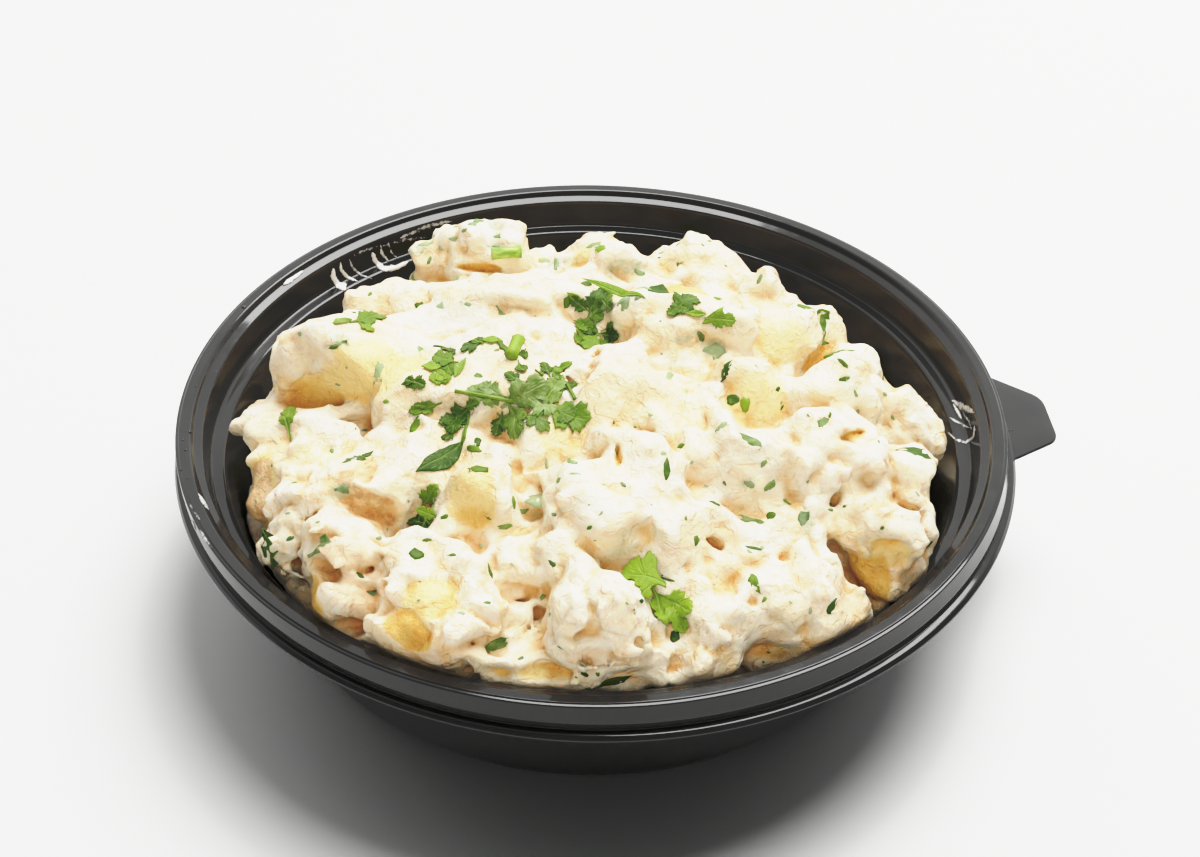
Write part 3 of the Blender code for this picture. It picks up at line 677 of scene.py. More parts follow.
class Volume:
    """A block of sample points, in millimetres, in which a surface is worked out as distances."""

    NEAREST = 300.0
    FARTHEST = 620.0
    STRIDE = 0.25

    def __init__(self, low: Sequence[float], high: Sequence[float], step: float) -> None:
        """Lay out the sample points.

        Args:
            low: The lowest corner.
            high: The highest corner.
            step: The spacing.
        """
        self.low = np.array(low, float)
        self.step = step
        self.axes = [np.arange(a, b, step).astype(np.float32) for a, b in zip(low, high)]
        self.shape = tuple(len(axis) for axis in self.axes)

    def window(self, centre: np.ndarray, reach: float) -> tuple[slice, slice, slice]:
        """Return the slices of the block within reach of a centre."""
        first = np.floor((centre - reach - self.low) / self.step).astype(int)
        last = np.ceil((centre + reach - self.low) / self.step).astype(int) + 1
        return tuple(
            slice(max(0, min(a, size)), max(0, min(b, size)))
            for a, b, size in zip(first, last, self.shape)
        )

    def grid(self, window: tuple[slice, slice, slice]) -> tuple[np.ndarray, np.ndarray, np.ndarray]:
        """Return the coordinates of a window's sample points, ready to broadcast."""
        x, y, z = (axis[part] for axis, part in zip(self.axes, window))
        return x[:, None, None], y[None, :, None], z[None, None, :]

    def blur(self, block: np.ndarray, reach: float) -> np.ndarray:
        """Return the block averaged over cubes, twice.

        Args:
            block: One number for each sample point.
            reach: Half a cube's side, in millimetres.

        Returns:
            The averages.
        """
        cells = max(1, round(reach / self.step))
        for _ in range(2):
            for axis in range(3):
                pad = [(cells + 1, cells) if index == axis else (0, 0) for index in range(3)]
                total = np.cumsum(np.pad(block, pad, mode="edge"), axis=axis, dtype=np.float64)
                upper = np.take(total, np.arange(2 * cells + 1, total.shape[axis]), axis)
                lower = np.take(total, np.arange(0, total.shape[axis] - 2 * cells - 1), axis)
                block = ((upper - lower) / (2 * cells + 1)).astype(np.float32)
        return block

    def read(self, block: np.ndarray, points: np.ndarray) -> np.ndarray:
        """Return the block's numbers at some points, between its sample points."""
        place = (points - self.low) / self.step
        limit = np.array(self.shape) - 1.001
        place = np.clip(place, 0, limit)
        first = place.astype(int)
        share = place - first
        total = np.zeros(len(points))
        for corner in range(8):
            bits = np.array([corner & 1, corner >> 1 & 1, corner >> 2 & 1])
            weight = np.prod(np.where(bits, share, 1 - share), axis=1)
            i, j, k = (first + bits).T
            total += weight * block[i, j, k]
        return total

    def cast(self, block: np.ndarray, start: np.ndarray, way: np.ndarray) -> np.ndarray | None:
        """Return where a ray first enters the surface.

        Args:
            block: Distances, negative inside.
            start: The ray's start, in millimetres.
            way: The ray's direction.

        Returns:
            The point, or None where the ray misses.
        """
        travel = np.arange(self.NEAREST, self.FARTHEST, self.STRIDE)
        points = start + travel[:, None] * way
        top = self.low + (np.array(self.shape) - 1) * self.step
        within = np.all((points > self.low) & (points < top), axis=1)
        inside = within & (self.read(block, points) < 0)
        hits = np.flatnonzero(inside)
        return points[hits[0]] if len(hits) else None

    def surface(self, block: np.ndarray) -> tuple[np.ndarray, np.ndarray]:
        """Mesh the zero level: one point in each cell that it crosses, one face on each edge.

        Args:
            block: Distances, negative inside.

        Returns:
            The points in millimetres, and the faces of four points.
        """
        inside = block < 0
        size = tuple(length - 1 for length in self.shape)

        def shifted(array: np.ndarray, bits: tuple[int, int, int]) -> np.ndarray:
            """Return the array moved by a corner of the cell."""
            return array[tuple(slice(bit, bit + length) for bit, length in zip(bits, size))]

        corners = [(a, b, c) for a in (0, 1) for b in (0, 1) for c in (0, 1)]
        count = sum(shifted(inside, bits).astype(np.int8) for bits in corners)
        crossed = (count > 0) & (count < 8)
        cells = np.argwhere(crossed)
        number = np.full(size, -1, np.int64)
        number[crossed] = np.arange(len(cells))
        places = np.zeros((len(cells), 3))
        hits = np.zeros(len(cells))
        for a in corners:
            for axis in range(3):
                if a[axis]:
                    continue
                b = tuple(bit + (index == axis) for index, bit in enumerate(a))
                near = shifted(block, a)[crossed]
                far = shifted(block, b)[crossed]
                cut = (near < 0) != (far < 0)
                share = np.where(cut, near / np.where(cut, near - far, 1.0), 0.0)
                spot = np.tile(np.array(a, float), (len(cells), 1))
                spot[:, axis] += share
                places += spot * cut[:, None]
                hits += cut
        verts = self.low + (cells + places / hits[:, None]) * self.step
        faces = []
        for axis in range(3):
            u, v = (axis + 1) % 3, (axis + 2) % 3
            start = np.array([1, 1, 1])
            start[axis] = 0
            near = inside[tuple(slice(s, length) for s, length in zip(start, size))]
            move = np.eye(3, dtype=int)[axis]
            parts = tuple(slice(s + m, length + m) for s, m, length in zip(start, move, size))
            far = inside[parts]
            for leaving in (True, False):
                edges = np.argwhere((near & ~far) if leaving else (~near & far)) + start
                back_u, back_v = np.eye(3, dtype=int)[u], np.eye(3, dtype=int)[v]
                ring = [edges, edges - back_u, edges - back_u - back_v, edges - back_v]
                if not leaving:
                    ring.reverse()
                faces.append(np.stack([number[tuple(spot.T)] for spot in ring], 1))
        return verts, np.concatenate(faces)


@dataclass(frozen=True)
class BowlSizes:
    """The bowl's turned form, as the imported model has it."""

    sheet: float = 0.8 * MM
    rim_radius: float = 95.0 * MM
    rim_height: float = 46.0 * MM
    base_radius: float = 74.1 * MM
    base_corner: float = 7.6 * MM
    ledge_radius: float = 85.3 * MM
    ledge_drop: float = 9.9 * MM
    lip_drop: float = 8.0 * MM
    lip_reach: float = 1.9 * MM
    lip_shift: float = 1.0 * MM
    tab_root_width: float = 31.0 * MM
    tab_end_width: float = 16.0 * MM
    tab_reach: float = 11.2 * MM
    tab_corner: float = 3.0 * MM
    tab_slope: float = 0.11

    @property
    def ledge_z(self) -> float:
        """The height of the inner ledge."""
        return self.rim_height - self.ledge_drop

    @property
    def lean(self) -> float:
        """The slope of the wall, in radians."""
        return math.atan2(self.ledge_z - self.sheet, self.ledge_radius + self.sheet - self.base_radius)

    @property
    def corner(self) -> Pair:
        """The centre of the rounded corner between base and wall."""
        tangent = self.base_corner / math.tan((math.pi - self.lean) / 2)
        return (self.base_radius - tangent, self.base_corner)

    def food_radius(self, z: np.ndarray) -> np.ndarray:
        """Return how far out the food may reach at each height, in millimetres."""
        heights = (0.0, 7.0, 36.1, 37.6, 38.4, 44.0, 46.0, 60.0)
        reaches = (66.0, 75.6, 83.8, 84.2, 87.3, 88.2, 89.8, 91.0)
        return np.interp(z, heights, reaches)


class Side(Enum):
    """The two faces of the formed sheet."""

    FOOD = 1
    OUTER = 2


@dataclass
class Bowl:
    """The black bowl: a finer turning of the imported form, with soft bends, and its pull tab."""

    sizes: BowlSizes = field(default_factory=BowlSizes)
    steps: int = 288
    guard: float = 0.05

    def profile(self, side: Side) -> list[tuple[float, float, float]]:
        """Return a face's corners from the axis outward: radius, height and radius of the bend."""
        s = self.sizes
        top, ledge, rim = s.rim_height, s.ledge_z, s.rim_radius
        centre_x, centre_z = s.corner
        if side is Side.FOOD:
            inner = s.base_corner - s.sheet
            spots = [(0.0, s.sheet, 0.0)]
            for step in range(9):
                angle = -math.pi / 2 + s.lean * step / 8
                spots.append((centre_x + inner * math.cos(angle), centre_z + inner * math.sin(angle), 0.0))
            spots += [
                (s.ledge_radius - 0.6 * MM, ledge + 1.1 * MM, 0.9 * MM),
                (s.ledge_radius + 2.7 * MM, ledge + 1.3 * MM, 0.9 * MM),
                (s.ledge_radius + 3.7 * MM, top - 1.9 * MM, 0.35 * MM),
                (rim - 4.0 * MM, top - 1.2 * MM, 0.25 * MM),
                (rim - 3.3 * MM, top - 0.04 * MM, 0.7 * MM),
                (rim - 0.95 * MM, top, 0.1 * MM),
                (rim - 0.72 * MM, top - 0.2 * MM, 0.08 * MM),
                (rim - 0.05 * MM, top - 0.33 * MM, 0.22 * MM),
                (rim + 0.38 * MM, top - 4.6 * MM, 0.3 * MM),
                (rim - 0.02 * MM, top - 6.75 * MM, 0.25 * MM),
                (rim + 1.05 * MM, top - 6.95 * MM, 0.1 * MM),
                (rim + 1.38 * MM, top - 7.06 * MM, 0.08 * MM),
                (rim + s.lip_reach, top - 7.85 * MM, 0.1 * MM),
                (rim + s.lip_reach, top - s.lip_drop, 0.05 * MM),
            ]
            return spots
        spots = [
            (rim + s.lip_reach, top - s.lip_drop - 0.4 * MM, 0.15 * MM),
            (rim + 0.3 * MM, top - s.lip_drop - 0.4 * MM, 0.3 * MM),
            (rim - 0.5 * MM, top - 7.3 * MM, 0.2 * MM),
            (rim - 0.6 * MM, top - 1.4 * MM, 0.3 * MM),
            (rim - 1.2 * MM, top - 0.85 * MM, 0.2 * MM),
            (rim - 3.0 * MM, top - 0.85 * MM, 0.3 * MM),
            (rim - 3.6 * MM, top - 2.0 * MM, 0.3 * MM),
            (rim - 5.3 * MM, top - 2.7 * MM, 0.3 * MM),
            (s.ledge_radius + 3.4 * MM, ledge + 0.6 * MM, 0.5 * MM),
            (s.ledge_radius + 0.2 * MM, ledge + 0.3 * MM, 0.5 * MM),
        ]
        for step in range(8, -1, -1):
            angle = -math.pi / 2 + s.lean * step / 8
            across = centre_x + s.base_corner * math.cos(angle)
            spots.append((across, centre_z + s.base_corner * math.sin(angle), 0.0))
        spots.append((0.0, 0.0, 0.0))
        return spots

    def bent(self, corners: list[tuple[float, float, float]]) -> list[Pair]:
        """Round each corner of a profile.

        Args:
            corners: Radius, height and bend radius of each.

        Returns:
            The points of the rounded profile.
        """
        points = [corners[0][:2]]
        for before, corner, after in zip(corners, corners[1:], corners[2:]):
            here = Vector(corner[:2])
            if corner[2] == 0.0:
                points.append(tuple(here))
                continue
            to_before, to_after = Vector(before[:2]) - here, Vector(after[:2]) - here
            reach = min(corner[2], to_before.length * 0.45, to_after.length * 0.45)
            start, end = here + to_before.normalized() * reach, here + to_after.normalized() * reach
            points.append(tuple(start.lerp(here + to_before, self.guard)))
            for step in range(6):
                share = step / 5
                spot = start.lerp(here, share).lerp(here.lerp(end, share), share)
                points.append(tuple(spot))
            points.append(tuple(end.lerp(here + to_after, self.guard)))
        points.append(corners[-1][:2])
        return points

    def build_shell(self, material: bpy.types.Material) -> bpy.types.Object:
        """Turn the sheet's two faces into the bowl, with the lip set slightly off centre."""
        s = self.sizes
        outline = self.bent(self.profile(Side.FOOD) + self.profile(Side.OUTER))
        inner = outline[1:-1]
        count, rows = self.steps, len(inner)
        verts = [(0.0, 0.0, outline[0][1])]
        top = s.rim_height - 0.8 * MM
        for radius, z in inner:
            drop = min(1.0, max(0.0, (top - z) / (top - (s.rim_height - s.lip_drop))))
            shift = s.lip_shift * drop if radius > s.rim_radius - 1.5 * MM else 0.0
            for step in range(count):
                angle = math.tau * step / count
                verts.append((radius * math.cos(angle) + shift, radius * math.sin(angle), z))
        verts.append((0.0, 0.0, outline[-1][1]))
        faces = fan(0, 1, count)
        for row in range(rows - 1):
            faces += flipped(band(1 + row * count, 1 + (row + 1) * count, count))
        faces += flipped(fan(len(verts) - 1, 1 + (rows - 1) * count, count))
        shell = mesh_object("takeaway_bowl", np.array(verts), faces, material)
        dull = PlasticFinish("black_plastic_wall", (0.018, 0.018, 0.014), 0.3, 0.16)
        shell.data.materials.append(dull.build())
        for face in shell.data.polygons:
            if face.normal.z > -0.2 and face.center.xy.length < s.ledge_radius + 3.6 * MM:
                inside = face.normal.xy.dot(face.center.xy) < 0.1 * MM
                steep = face.normal.z < 0.6 and face.center.z > s.sheet + 1.0 * MM
                face.material_index = int(inside and steep)
        return shell

    def tab_outline(self) -> list[Pair]:
        """Return the tab seen from above, with rounded outer corners and flared roots."""
        s = self.sizes
        root = s.rim_radius + 1.0 * MM
        end = s.rim_radius + s.lip_reach + s.lip_shift + s.tab_reach
        corner = Vector((end, s.tab_end_width / 2))
        wide = s.tab_root_width / 2
        base = Vector((root + 1.4 * MM, wide))
        side = (base - corner).normalized()
        upper = [(root, wide + 1.2 * MM), (root + 0.7 * MM, wide + 0.4 * MM), tuple(base)]
        start, finish = corner + side * s.tab_corner, corner - Vector((0.0, s.tab_corner))
        for step in range(9):
            share = step / 8
            upper.append(tuple(start.lerp(corner, share).lerp(corner.lerp(finish, share), share)))
        return upper + [(x, -y) for x, y in reversed(upper)]

    def build_tab(self, material: bpy.types.Material) -> bpy.types.Object:
        """Build the pull tab: a thin plate that dips towards its end, with a turned-down edge."""
        s = self.sizes
        outline = self.tab_outline()
        root = outline[0][0]
        top = s.rim_height - s.lip_drop + 0.25 * MM
        centre = Vector((root + 5.0 * MM, 0.0))
        verts = []
        rings = ((1.0, 0.55), (1.0, 0.18), (0.985, 0.03), (0.965, 0.0), (0.6, 0.0), (0.2, 0.0), (0.3, 0.55))
        for share, drop in rings:
            for x, y in outline:
                spot = centre + (Vector((x, y)) - centre) * share
                verts.append((spot.x, spot.y, top - s.tab_slope * (spot.x - root) - drop * MM))
        count = len(outline)
        under = (len(rings) - 1) * count
        faces: list[tuple[int, ...]] = []
        for ring in range(len(rings) - 2):
            faces += [face[::-1] for face in band(ring * count, (ring + 1) * count, count)]
        faces.append(tuple(under - count + step for step in reversed(range(count))))
        faces += band(0, under, count)
        faces.append(tuple(under + step for step in range(count)))
        tab = mesh_object("pull_tab", np.array(verts), faces, material)
        tab.data.set_sharp_from_angle(angle=math.radians(50))
        return tab

    def build(self) -> list[bpy.types.Object]:
        """Build the bowl and its tab, dressed in black plastic."""
        material = PlasticFinish().build()
        shell = self.build_shell(material)
        tab = self.build_tab(material)
        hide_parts("bowl")
        for piece in (shell, tab):
            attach(piece, "root")
        return [shell, tab]


@dataclass(frozen=True)
class Chunk:
    """One coated potato piece: place, breadth, depth and lift over the dome in mm, turns in degrees."""

    x: float
    y: float
    breadth: float
    depth: float
    lift: float = 0.0
    turn: float | None = None
    tip: float | None = None
    roll: float = 0.0


CHUNKS = tuple(
    Chunk(*row)
    for row in (
        (-23, 47, 21, 15, 3), (-38, 47, 10, 10, 1), (-9, 46, 12, 7, -5), (6, 37, 20, 12, 1),
        (29, 34, 25, 16, 3), (45, 26, 11, 12, 2), (56, 14, 13, 12), (60, 2, 14, 11), (65, -9, 7, 9),
        (74, -11, 15, 20, -1), (63, -38, 18, 18), (59, -50, 19, 18, -3), (49, -65, 11, 11, -2),
        (43, 9, 18, 16), (18, 5, 28, 23), (-18, 21, 28, 16), (-47, 29, 23, 11), (-56, 5, 34, 25, 1),
        (-70, -4, 22, 13, -2), (-66, -25, 22, 19), (-63, -38, 18, 12, -3), (-52, -35, 19, 22),
        (-53, -50, 14, 26, -4), (-65, -46, 12, 11, -11), (-36, -65, 26, 27), (-16, -78, 20, 11, -3),
        (-3, -74, 19, 23, 2), (16, -77, 21, 14, -2), (17, -71, 18, 10), (36, -67, 19, 19),
        (32, -74, 11, 8, -4), (-29, -45, 17, 21), (-37, -34, 21, 17), (-17, -57, 15, 17, -3),
        (-11, -62, 10, 15), (0, -53, 23, 20, 3), (12, -55, 17, 17), (18, -39, 15, 14), (33, -40, 18, 15),
        (51, -34, 20, 19, 2), (50, -16, 20, 13, 2), (33, -18, 15, 16), (34, -53, 24, 12),
        (17, -64, 26, 10), (10, -25, 30, 19, 1), (-9, -31, 19, 15), (-22, -15, 26, 22),
        (-37, -13, 18, 18),
    )
)


SIDE_CHUNKS = (
    Chunk(-72.5, -29, 13, 15, 4, 8, 4),
    Chunk(-71, -13, 17, 13, 3, -14, 8),
)


class Mark(Enum):
    """What a place on the salad shows."""

    BARE = "bare"
    SKIN = "skin"
    STAIN = "stain"
    PIT = "pit"
    ROUGH = "rough"
    # Deep-yellow flesh, and painted shade on flesh that faces down or lies in hollows.
    DEEP_AND_SHADED = "deep"
    # Tan film of dressing, and painted shade on faces turned from the light.
    TAN_AND_SHADE = "tan"


@dataclass(frozen=True)
class Spot:
    """An ellipse of the picture with something on it: middle, width and height in pixels."""

    mark: Mark
    u: float
    v: float
    wide: float
    high: float
    turn: float = 0.0
    power: float = 1.0


SPOTS = tuple(
    Spot(mark, *row)
    for mark, rows in {
        Mark.BARE: (
            (372, 368, 92, 60, -12, 0.85), (320, 398, 76, 52, 20, 1.0), (300, 458, 90, 34, 0, 0.4),
            (256, 505, 34, 86, 12, 1.0), (473, 503, 58, 66, 0, 1.0), (430, 603, 62, 52, -20, 0.75),
            (410, 628, 62, 40, 30, 1.0), (540, 672, 92, 20, 0, 0.85), (862, 575, 66, 44, 22, 1.0),
            (893, 552, 58, 34, 10, 0.8), (755, 398, 62, 58, 0, 0.55), (785, 340, 70, 50, 0, 0.5),
            (818, 358, 44, 30, -30, 0.7), (583, 254, 24, 34, 0, 0.6), (700, 289, 74, 13, 0, 0.8),
            (478, 268, 44, 8, 4, 0.8), (562, 438, 56, 40, 10, 0.5), (850, 436, 38, 8, -16, 0.8),
            (345, 384, 64, 56, 0, 0.8), (618, 458, 6, 22, 0, 1.0), (772, 650, 44, 20, 0, 0.55),
            (312, 600, 52, 50, 0, 0.8), (310, 562, 50, 30, 10, 1.0), (690, 468, 70, 56, 0, 0.3),
            (530, 556, 60, 50, 0, 0.3), (625, 245, 36, 14, 12, 0.6), (590, 640, 80, 40, 0, 0.2),
        ),
        Mark.SKIN: (
            (254, 505, 30, 72, 12, 0.8), (284, 384, 30, 44, 0, 0.55), (372, 508, 84, 34, 38, 1.0),
            (367, 470, 18, 62, -4, 0.8),
        ),
        # Painted shade on faces turned from the light, mostly low and near the front, with some tan patches
        # of dressing.
        Mark.TAN_AND_SHADE: (
            (366, 600, 60, 96, 0, 0.9), (350, 562, 60, 44, 0, 0.7), (352, 452, 40, 50, 0, 0.7),
            (340, 500, 40, 60, -30, 0.5), (246, 440, 26, 60, 0, 0.5), (282, 372, 36, 60, 0, 0.6),
            (310, 352, 60, 30, 0, 0.35), (600, 655, 110, 24, 0, 0.8), (772, 632, 90, 30, 0, 0.7),
            (846, 606, 50, 50, 0, 0.7), (906, 572, 36, 60, 0, 0.7), (826, 540, 40, 60, 0, 0.45),
            (440, 654, 100, 24, -14, 0.7), (474, 556, 34, 60, 20, 0.5), (524, 568, 60, 60, 0, 0.5),
            (588, 252, 34, 34, 0, 0.5), (800, 350, 90, 50, -20, 0.45), (690, 474, 60, 50, 0, 0.45),
            (604, 408, 24, 40, 0, 0.6), (668, 560, 90, 30, -20, 0.5), (880, 470, 50, 60, 0, 0.4),
            (706, 560, 90, 24, 0, 0.5), (430, 275, 60, 30, 0, 0.45), (730, 440, 50, 30, 20, 0.4),
        ),
        # Deep-yellow flesh, darker as painted shade where it faces down.
        Mark.DEEP_AND_SHADED: (
            (318, 402, 72, 44, 20, 0.62), (862, 577, 70, 46, 22, 1.0), (408, 630, 62, 36, 30, 1.0),
            (772, 650, 40, 18, 0, 0.5), (310, 562, 50, 30, 10, 1.0), (312, 604, 52, 50, 0, 0.7),
            (473, 522, 60, 36, 0, 0.6), (478, 268, 44, 10, 4, 0.9), (700, 289, 74, 13, 0, 0.8),
            (850, 436, 36, 8, -16, 0.6), (560, 440, 50, 34, 0, 0.4),
        ),
        Mark.PIT: (
            (751, 599, 13, 9, 30, 0.3), (710, 541, 22, 6, 14, 0.3), (512, 612, 18, 4, -38, 0.45),
            (318, 566, 46, 20, 12), (868, 604, 44, 18, 0), (352, 628, 44, 34, -20),
            (618, 458, 5, 18, 0, 0.6),
        ),
        Mark.ROUGH: (
            (605, 632, 120, 120), (800, 605, 160, 110), (895, 520, 120, 130), (440, 620, 160, 120),
            (350, 590, 110, 120), (285, 520, 110, 140), (540, 600, 100, 120), (860, 460, 60, 100),
            (920, 430, 60, 70), (700, 650, 120, 60, 0, 0.5), (470, 240, 120, 60, 0, 0.5),
            (780, 520, 160, 70, 0, 0.6),
        ),
        Mark.STAIN: (
            (428, 252, 40, 18, 0, 0.7), (340, 340, 24, 12, 10, 0.6), (625, 268, 60, 16, 0, 0.6),
            (614, 305, 26, 18, 0, 0.8), (714, 348, 26, 28, 0, 0.7), (690, 340, 24, 12, 0, 0.5),
            (766, 268, 16, 26, 0, 0.5), (541, 510, 40, 30, 0, 0.6), (268, 538, 12, 26, 0, 0.7),
            (341, 492, 16, 12, 0, 0.8), (640, 535, 60, 40, 0, 0.25), (750, 520, 60, 24, 20, 0.45),
            (806, 520, 14, 26, 0, 0.6), (832, 492, 20, 14, 0, 0.4), (760, 480, 40, 20, 0, 0.35),
            (496, 645, 26, 14, 0, 0.5), (412, 275, 14, 12, 0, 0.5), (548, 258, 30, 18, 0, 0.6),
            (570, 262, 20, 14, 0, 0.5),
        ),
    }.items()
    for row in rows
)


OUTLINE: tuple[Pair, ...] = (
    (300, 606), (290, 596), (280, 587), (269, 578), (260, 566), (254, 556), (246, 552), (242, 542),
    (238, 532), (240, 528), (239, 516), (237, 509), (233, 503), (240, 495), (245, 485), (245, 478),
    (240, 470), (233, 470), (228, 462), (225, 455), (224, 447), (226, 440), (232, 430), (237, 420),
    (249, 405), (258, 400), (275, 397), (270, 382), (271, 375), (270, 361), (275, 340), (278, 335),
    (288, 330), (300, 326), (311, 321), (324, 319), (337, 315), (341, 309), (339, 305), (337, 297),
    (340, 293), (350, 289), (363, 286), (370, 288), (382, 283), (392, 276), (405, 270), (414, 267),
    (410, 261), (405, 250), (410, 246), (418, 241), (432, 242), (439, 236), (445, 230), (457, 227),
    (470, 222), (484, 220), (497, 212), (504, 217), (517, 222), (526, 226), (527, 239), (523, 247),
    (523, 254), (535, 252), (548, 249), (556, 252), (565, 253), (573, 247), (582, 238), (588, 234),
    (600, 231), (611, 236), (621, 242), (632, 245), (640, 253), (651, 258), (660, 249), (669, 244),
    (680, 240), (687, 232), (691, 228), (699, 230), (712, 237), (723, 246), (736, 254), (741, 264),
    (756, 276), (760, 269), (767, 262), (772, 266), (776, 274), (779, 281), (784, 296), (792, 295),
    (798, 298), (802, 305), (817, 308), (829, 306), (835, 313), (843, 322), (848, 336), (852, 341),
    (861, 340), (871, 344), (879, 350), (880, 365), (883, 378), (889, 392), (899, 388), (908, 386),
    (915, 397), (919, 405), (933, 416), (941, 419), (946, 425), (951, 438), (951, 455), (950, 463),
    (941, 464), (936, 474), (926, 478), (927, 485), (922, 491), (925, 502), (930, 512), (932, 522),
    (935, 530), (940, 534), (937, 545), (940, 575), (925, 620), (870, 670), (780, 705), (660, 722),
    (540, 720), (430, 700), (340, 655), (305, 625),
)


FAR_SPOTS = {
    Mark.BARE: (
        (-42.0, 52.0, 15.0, 12.0, 0.85), (20.0, 66.0, 16.0, 12.0, 0.85),
    ),
    # Tan patches of dressing on the far side.
    Mark.TAN_AND_SHADE: (
        (-30.0, 62.0, 20.0, 14.0, 0.7), (4.0, 60.0, 22.0, 12.0, 0.6), (40.0, 58.0, 18.0, 16.0, 0.7),
        (62.0, 46.0, 12.0, 14.0, 0.5), (-62.0, 40.0, 16.0, 18.0, 0.6),
    ),
    Mark.SKIN: (
        (-12.0, 70.0, 14.0, 10.0, 0.55),
    ),
    Mark.DEEP_AND_SHADED: (
        (22.0, 70.0, 10.0, 8.0, 0.8),
    ),
    Mark.STAIN: (
        (-20.0, 48.0, 5.0, 3.0, 0.7), (12.0, 72.0, 6.0, 3.0, 0.7), (34.0, 66.0, 5.0, 4.0, 0.7),
        (-50.0, 44.0, 6.0, 3.0, 0.7),
    ),
}


class Outline:
    """The salad's outline in the picture, as distances to its edge."""

    STEP = 2.0
    LOW = (200.0, 190.0)
    HIGH = (1000.0, 740.0)

    def __init__(self, camera: PictureCamera, ring: Sequence[Pair]) -> None:
        """Work out the distances on a grid of pixels, negative inside.

        Args:
            camera: The camera.
            ring: The outline's corners in pixels.
        """
        self.camera = camera
        axes = (np.arange(a, b, self.STEP) for a, b in zip(self.LOW, self.HIGH))
        u, v = np.meshgrid(*axes, indexing="ij")
        far = np.full(u.shape, 1e9)
        inside = np.zeros(u.shape, bool)
        for (u0, v0), (u1, v1) in zip(ring, [*ring[1:], ring[0]]):
            du, dv = u1 - u0, v1 - v0
            share = np.clip(((u - u0) * du + (v - v0) * dv) / (du * du + dv * dv), 0, 1)
            far = np.minimum(far, np.hypot(u - u0 - share * du, v - v0 - share * dv))
            if dv:
                inside ^= ((v0 > v) != (v1 > v)) & (u < u0 + (v - v0) / dv * du)
        self.far = np.where(inside, -far, far).astype(np.float32)

    def beyond(self, places: Sequence[np.ndarray]) -> np.ndarray:
        """Return how far places lie outside the outline as the camera sees it, in millimetres."""
        moves = [axis - np.float32(part / MM) for axis, part in zip(places, self.camera.place)]
        right, up, ahead = (
            sum(move * np.float32(part) for move, part in zip(moves, way))
            for way in (self.camera.right, self.camera.up, self.camera.ahead)
        )
        scale = np.float32(self.camera.focal) / ahead
        u = (right * scale + (self.camera.wide / 2 - self.LOW[0])) / self.STEP
        v = (self.camera.high / 2 - self.LOW[1] - up * scale) / self.STEP
        u = np.clip(u, 0, self.far.shape[0] - 1.01)
        v = np.clip(v, 0, self.far.shape[1] - 1.01)
        i, j = u.astype(np.int32), v.astype(np.int32)
        a, b = u - i, v - j
        near = self.far[i, j] * (1 - a) + self.far[i + 1, j] * a
        next_row = self.far[i, j + 1] * (1 - a) + self.far[i + 1, j + 1] * a
        return (near * (1 - b) + next_row * b) / scale


@dataclass(frozen=True)
class Lump:
    """A lump of potato or dressing: middle, width and height in pixels, turn, and how far it stands out."""

    u: float
    v: float
    wide: float
    high: float
    turn: float = 0.0
    out: float = 0.3


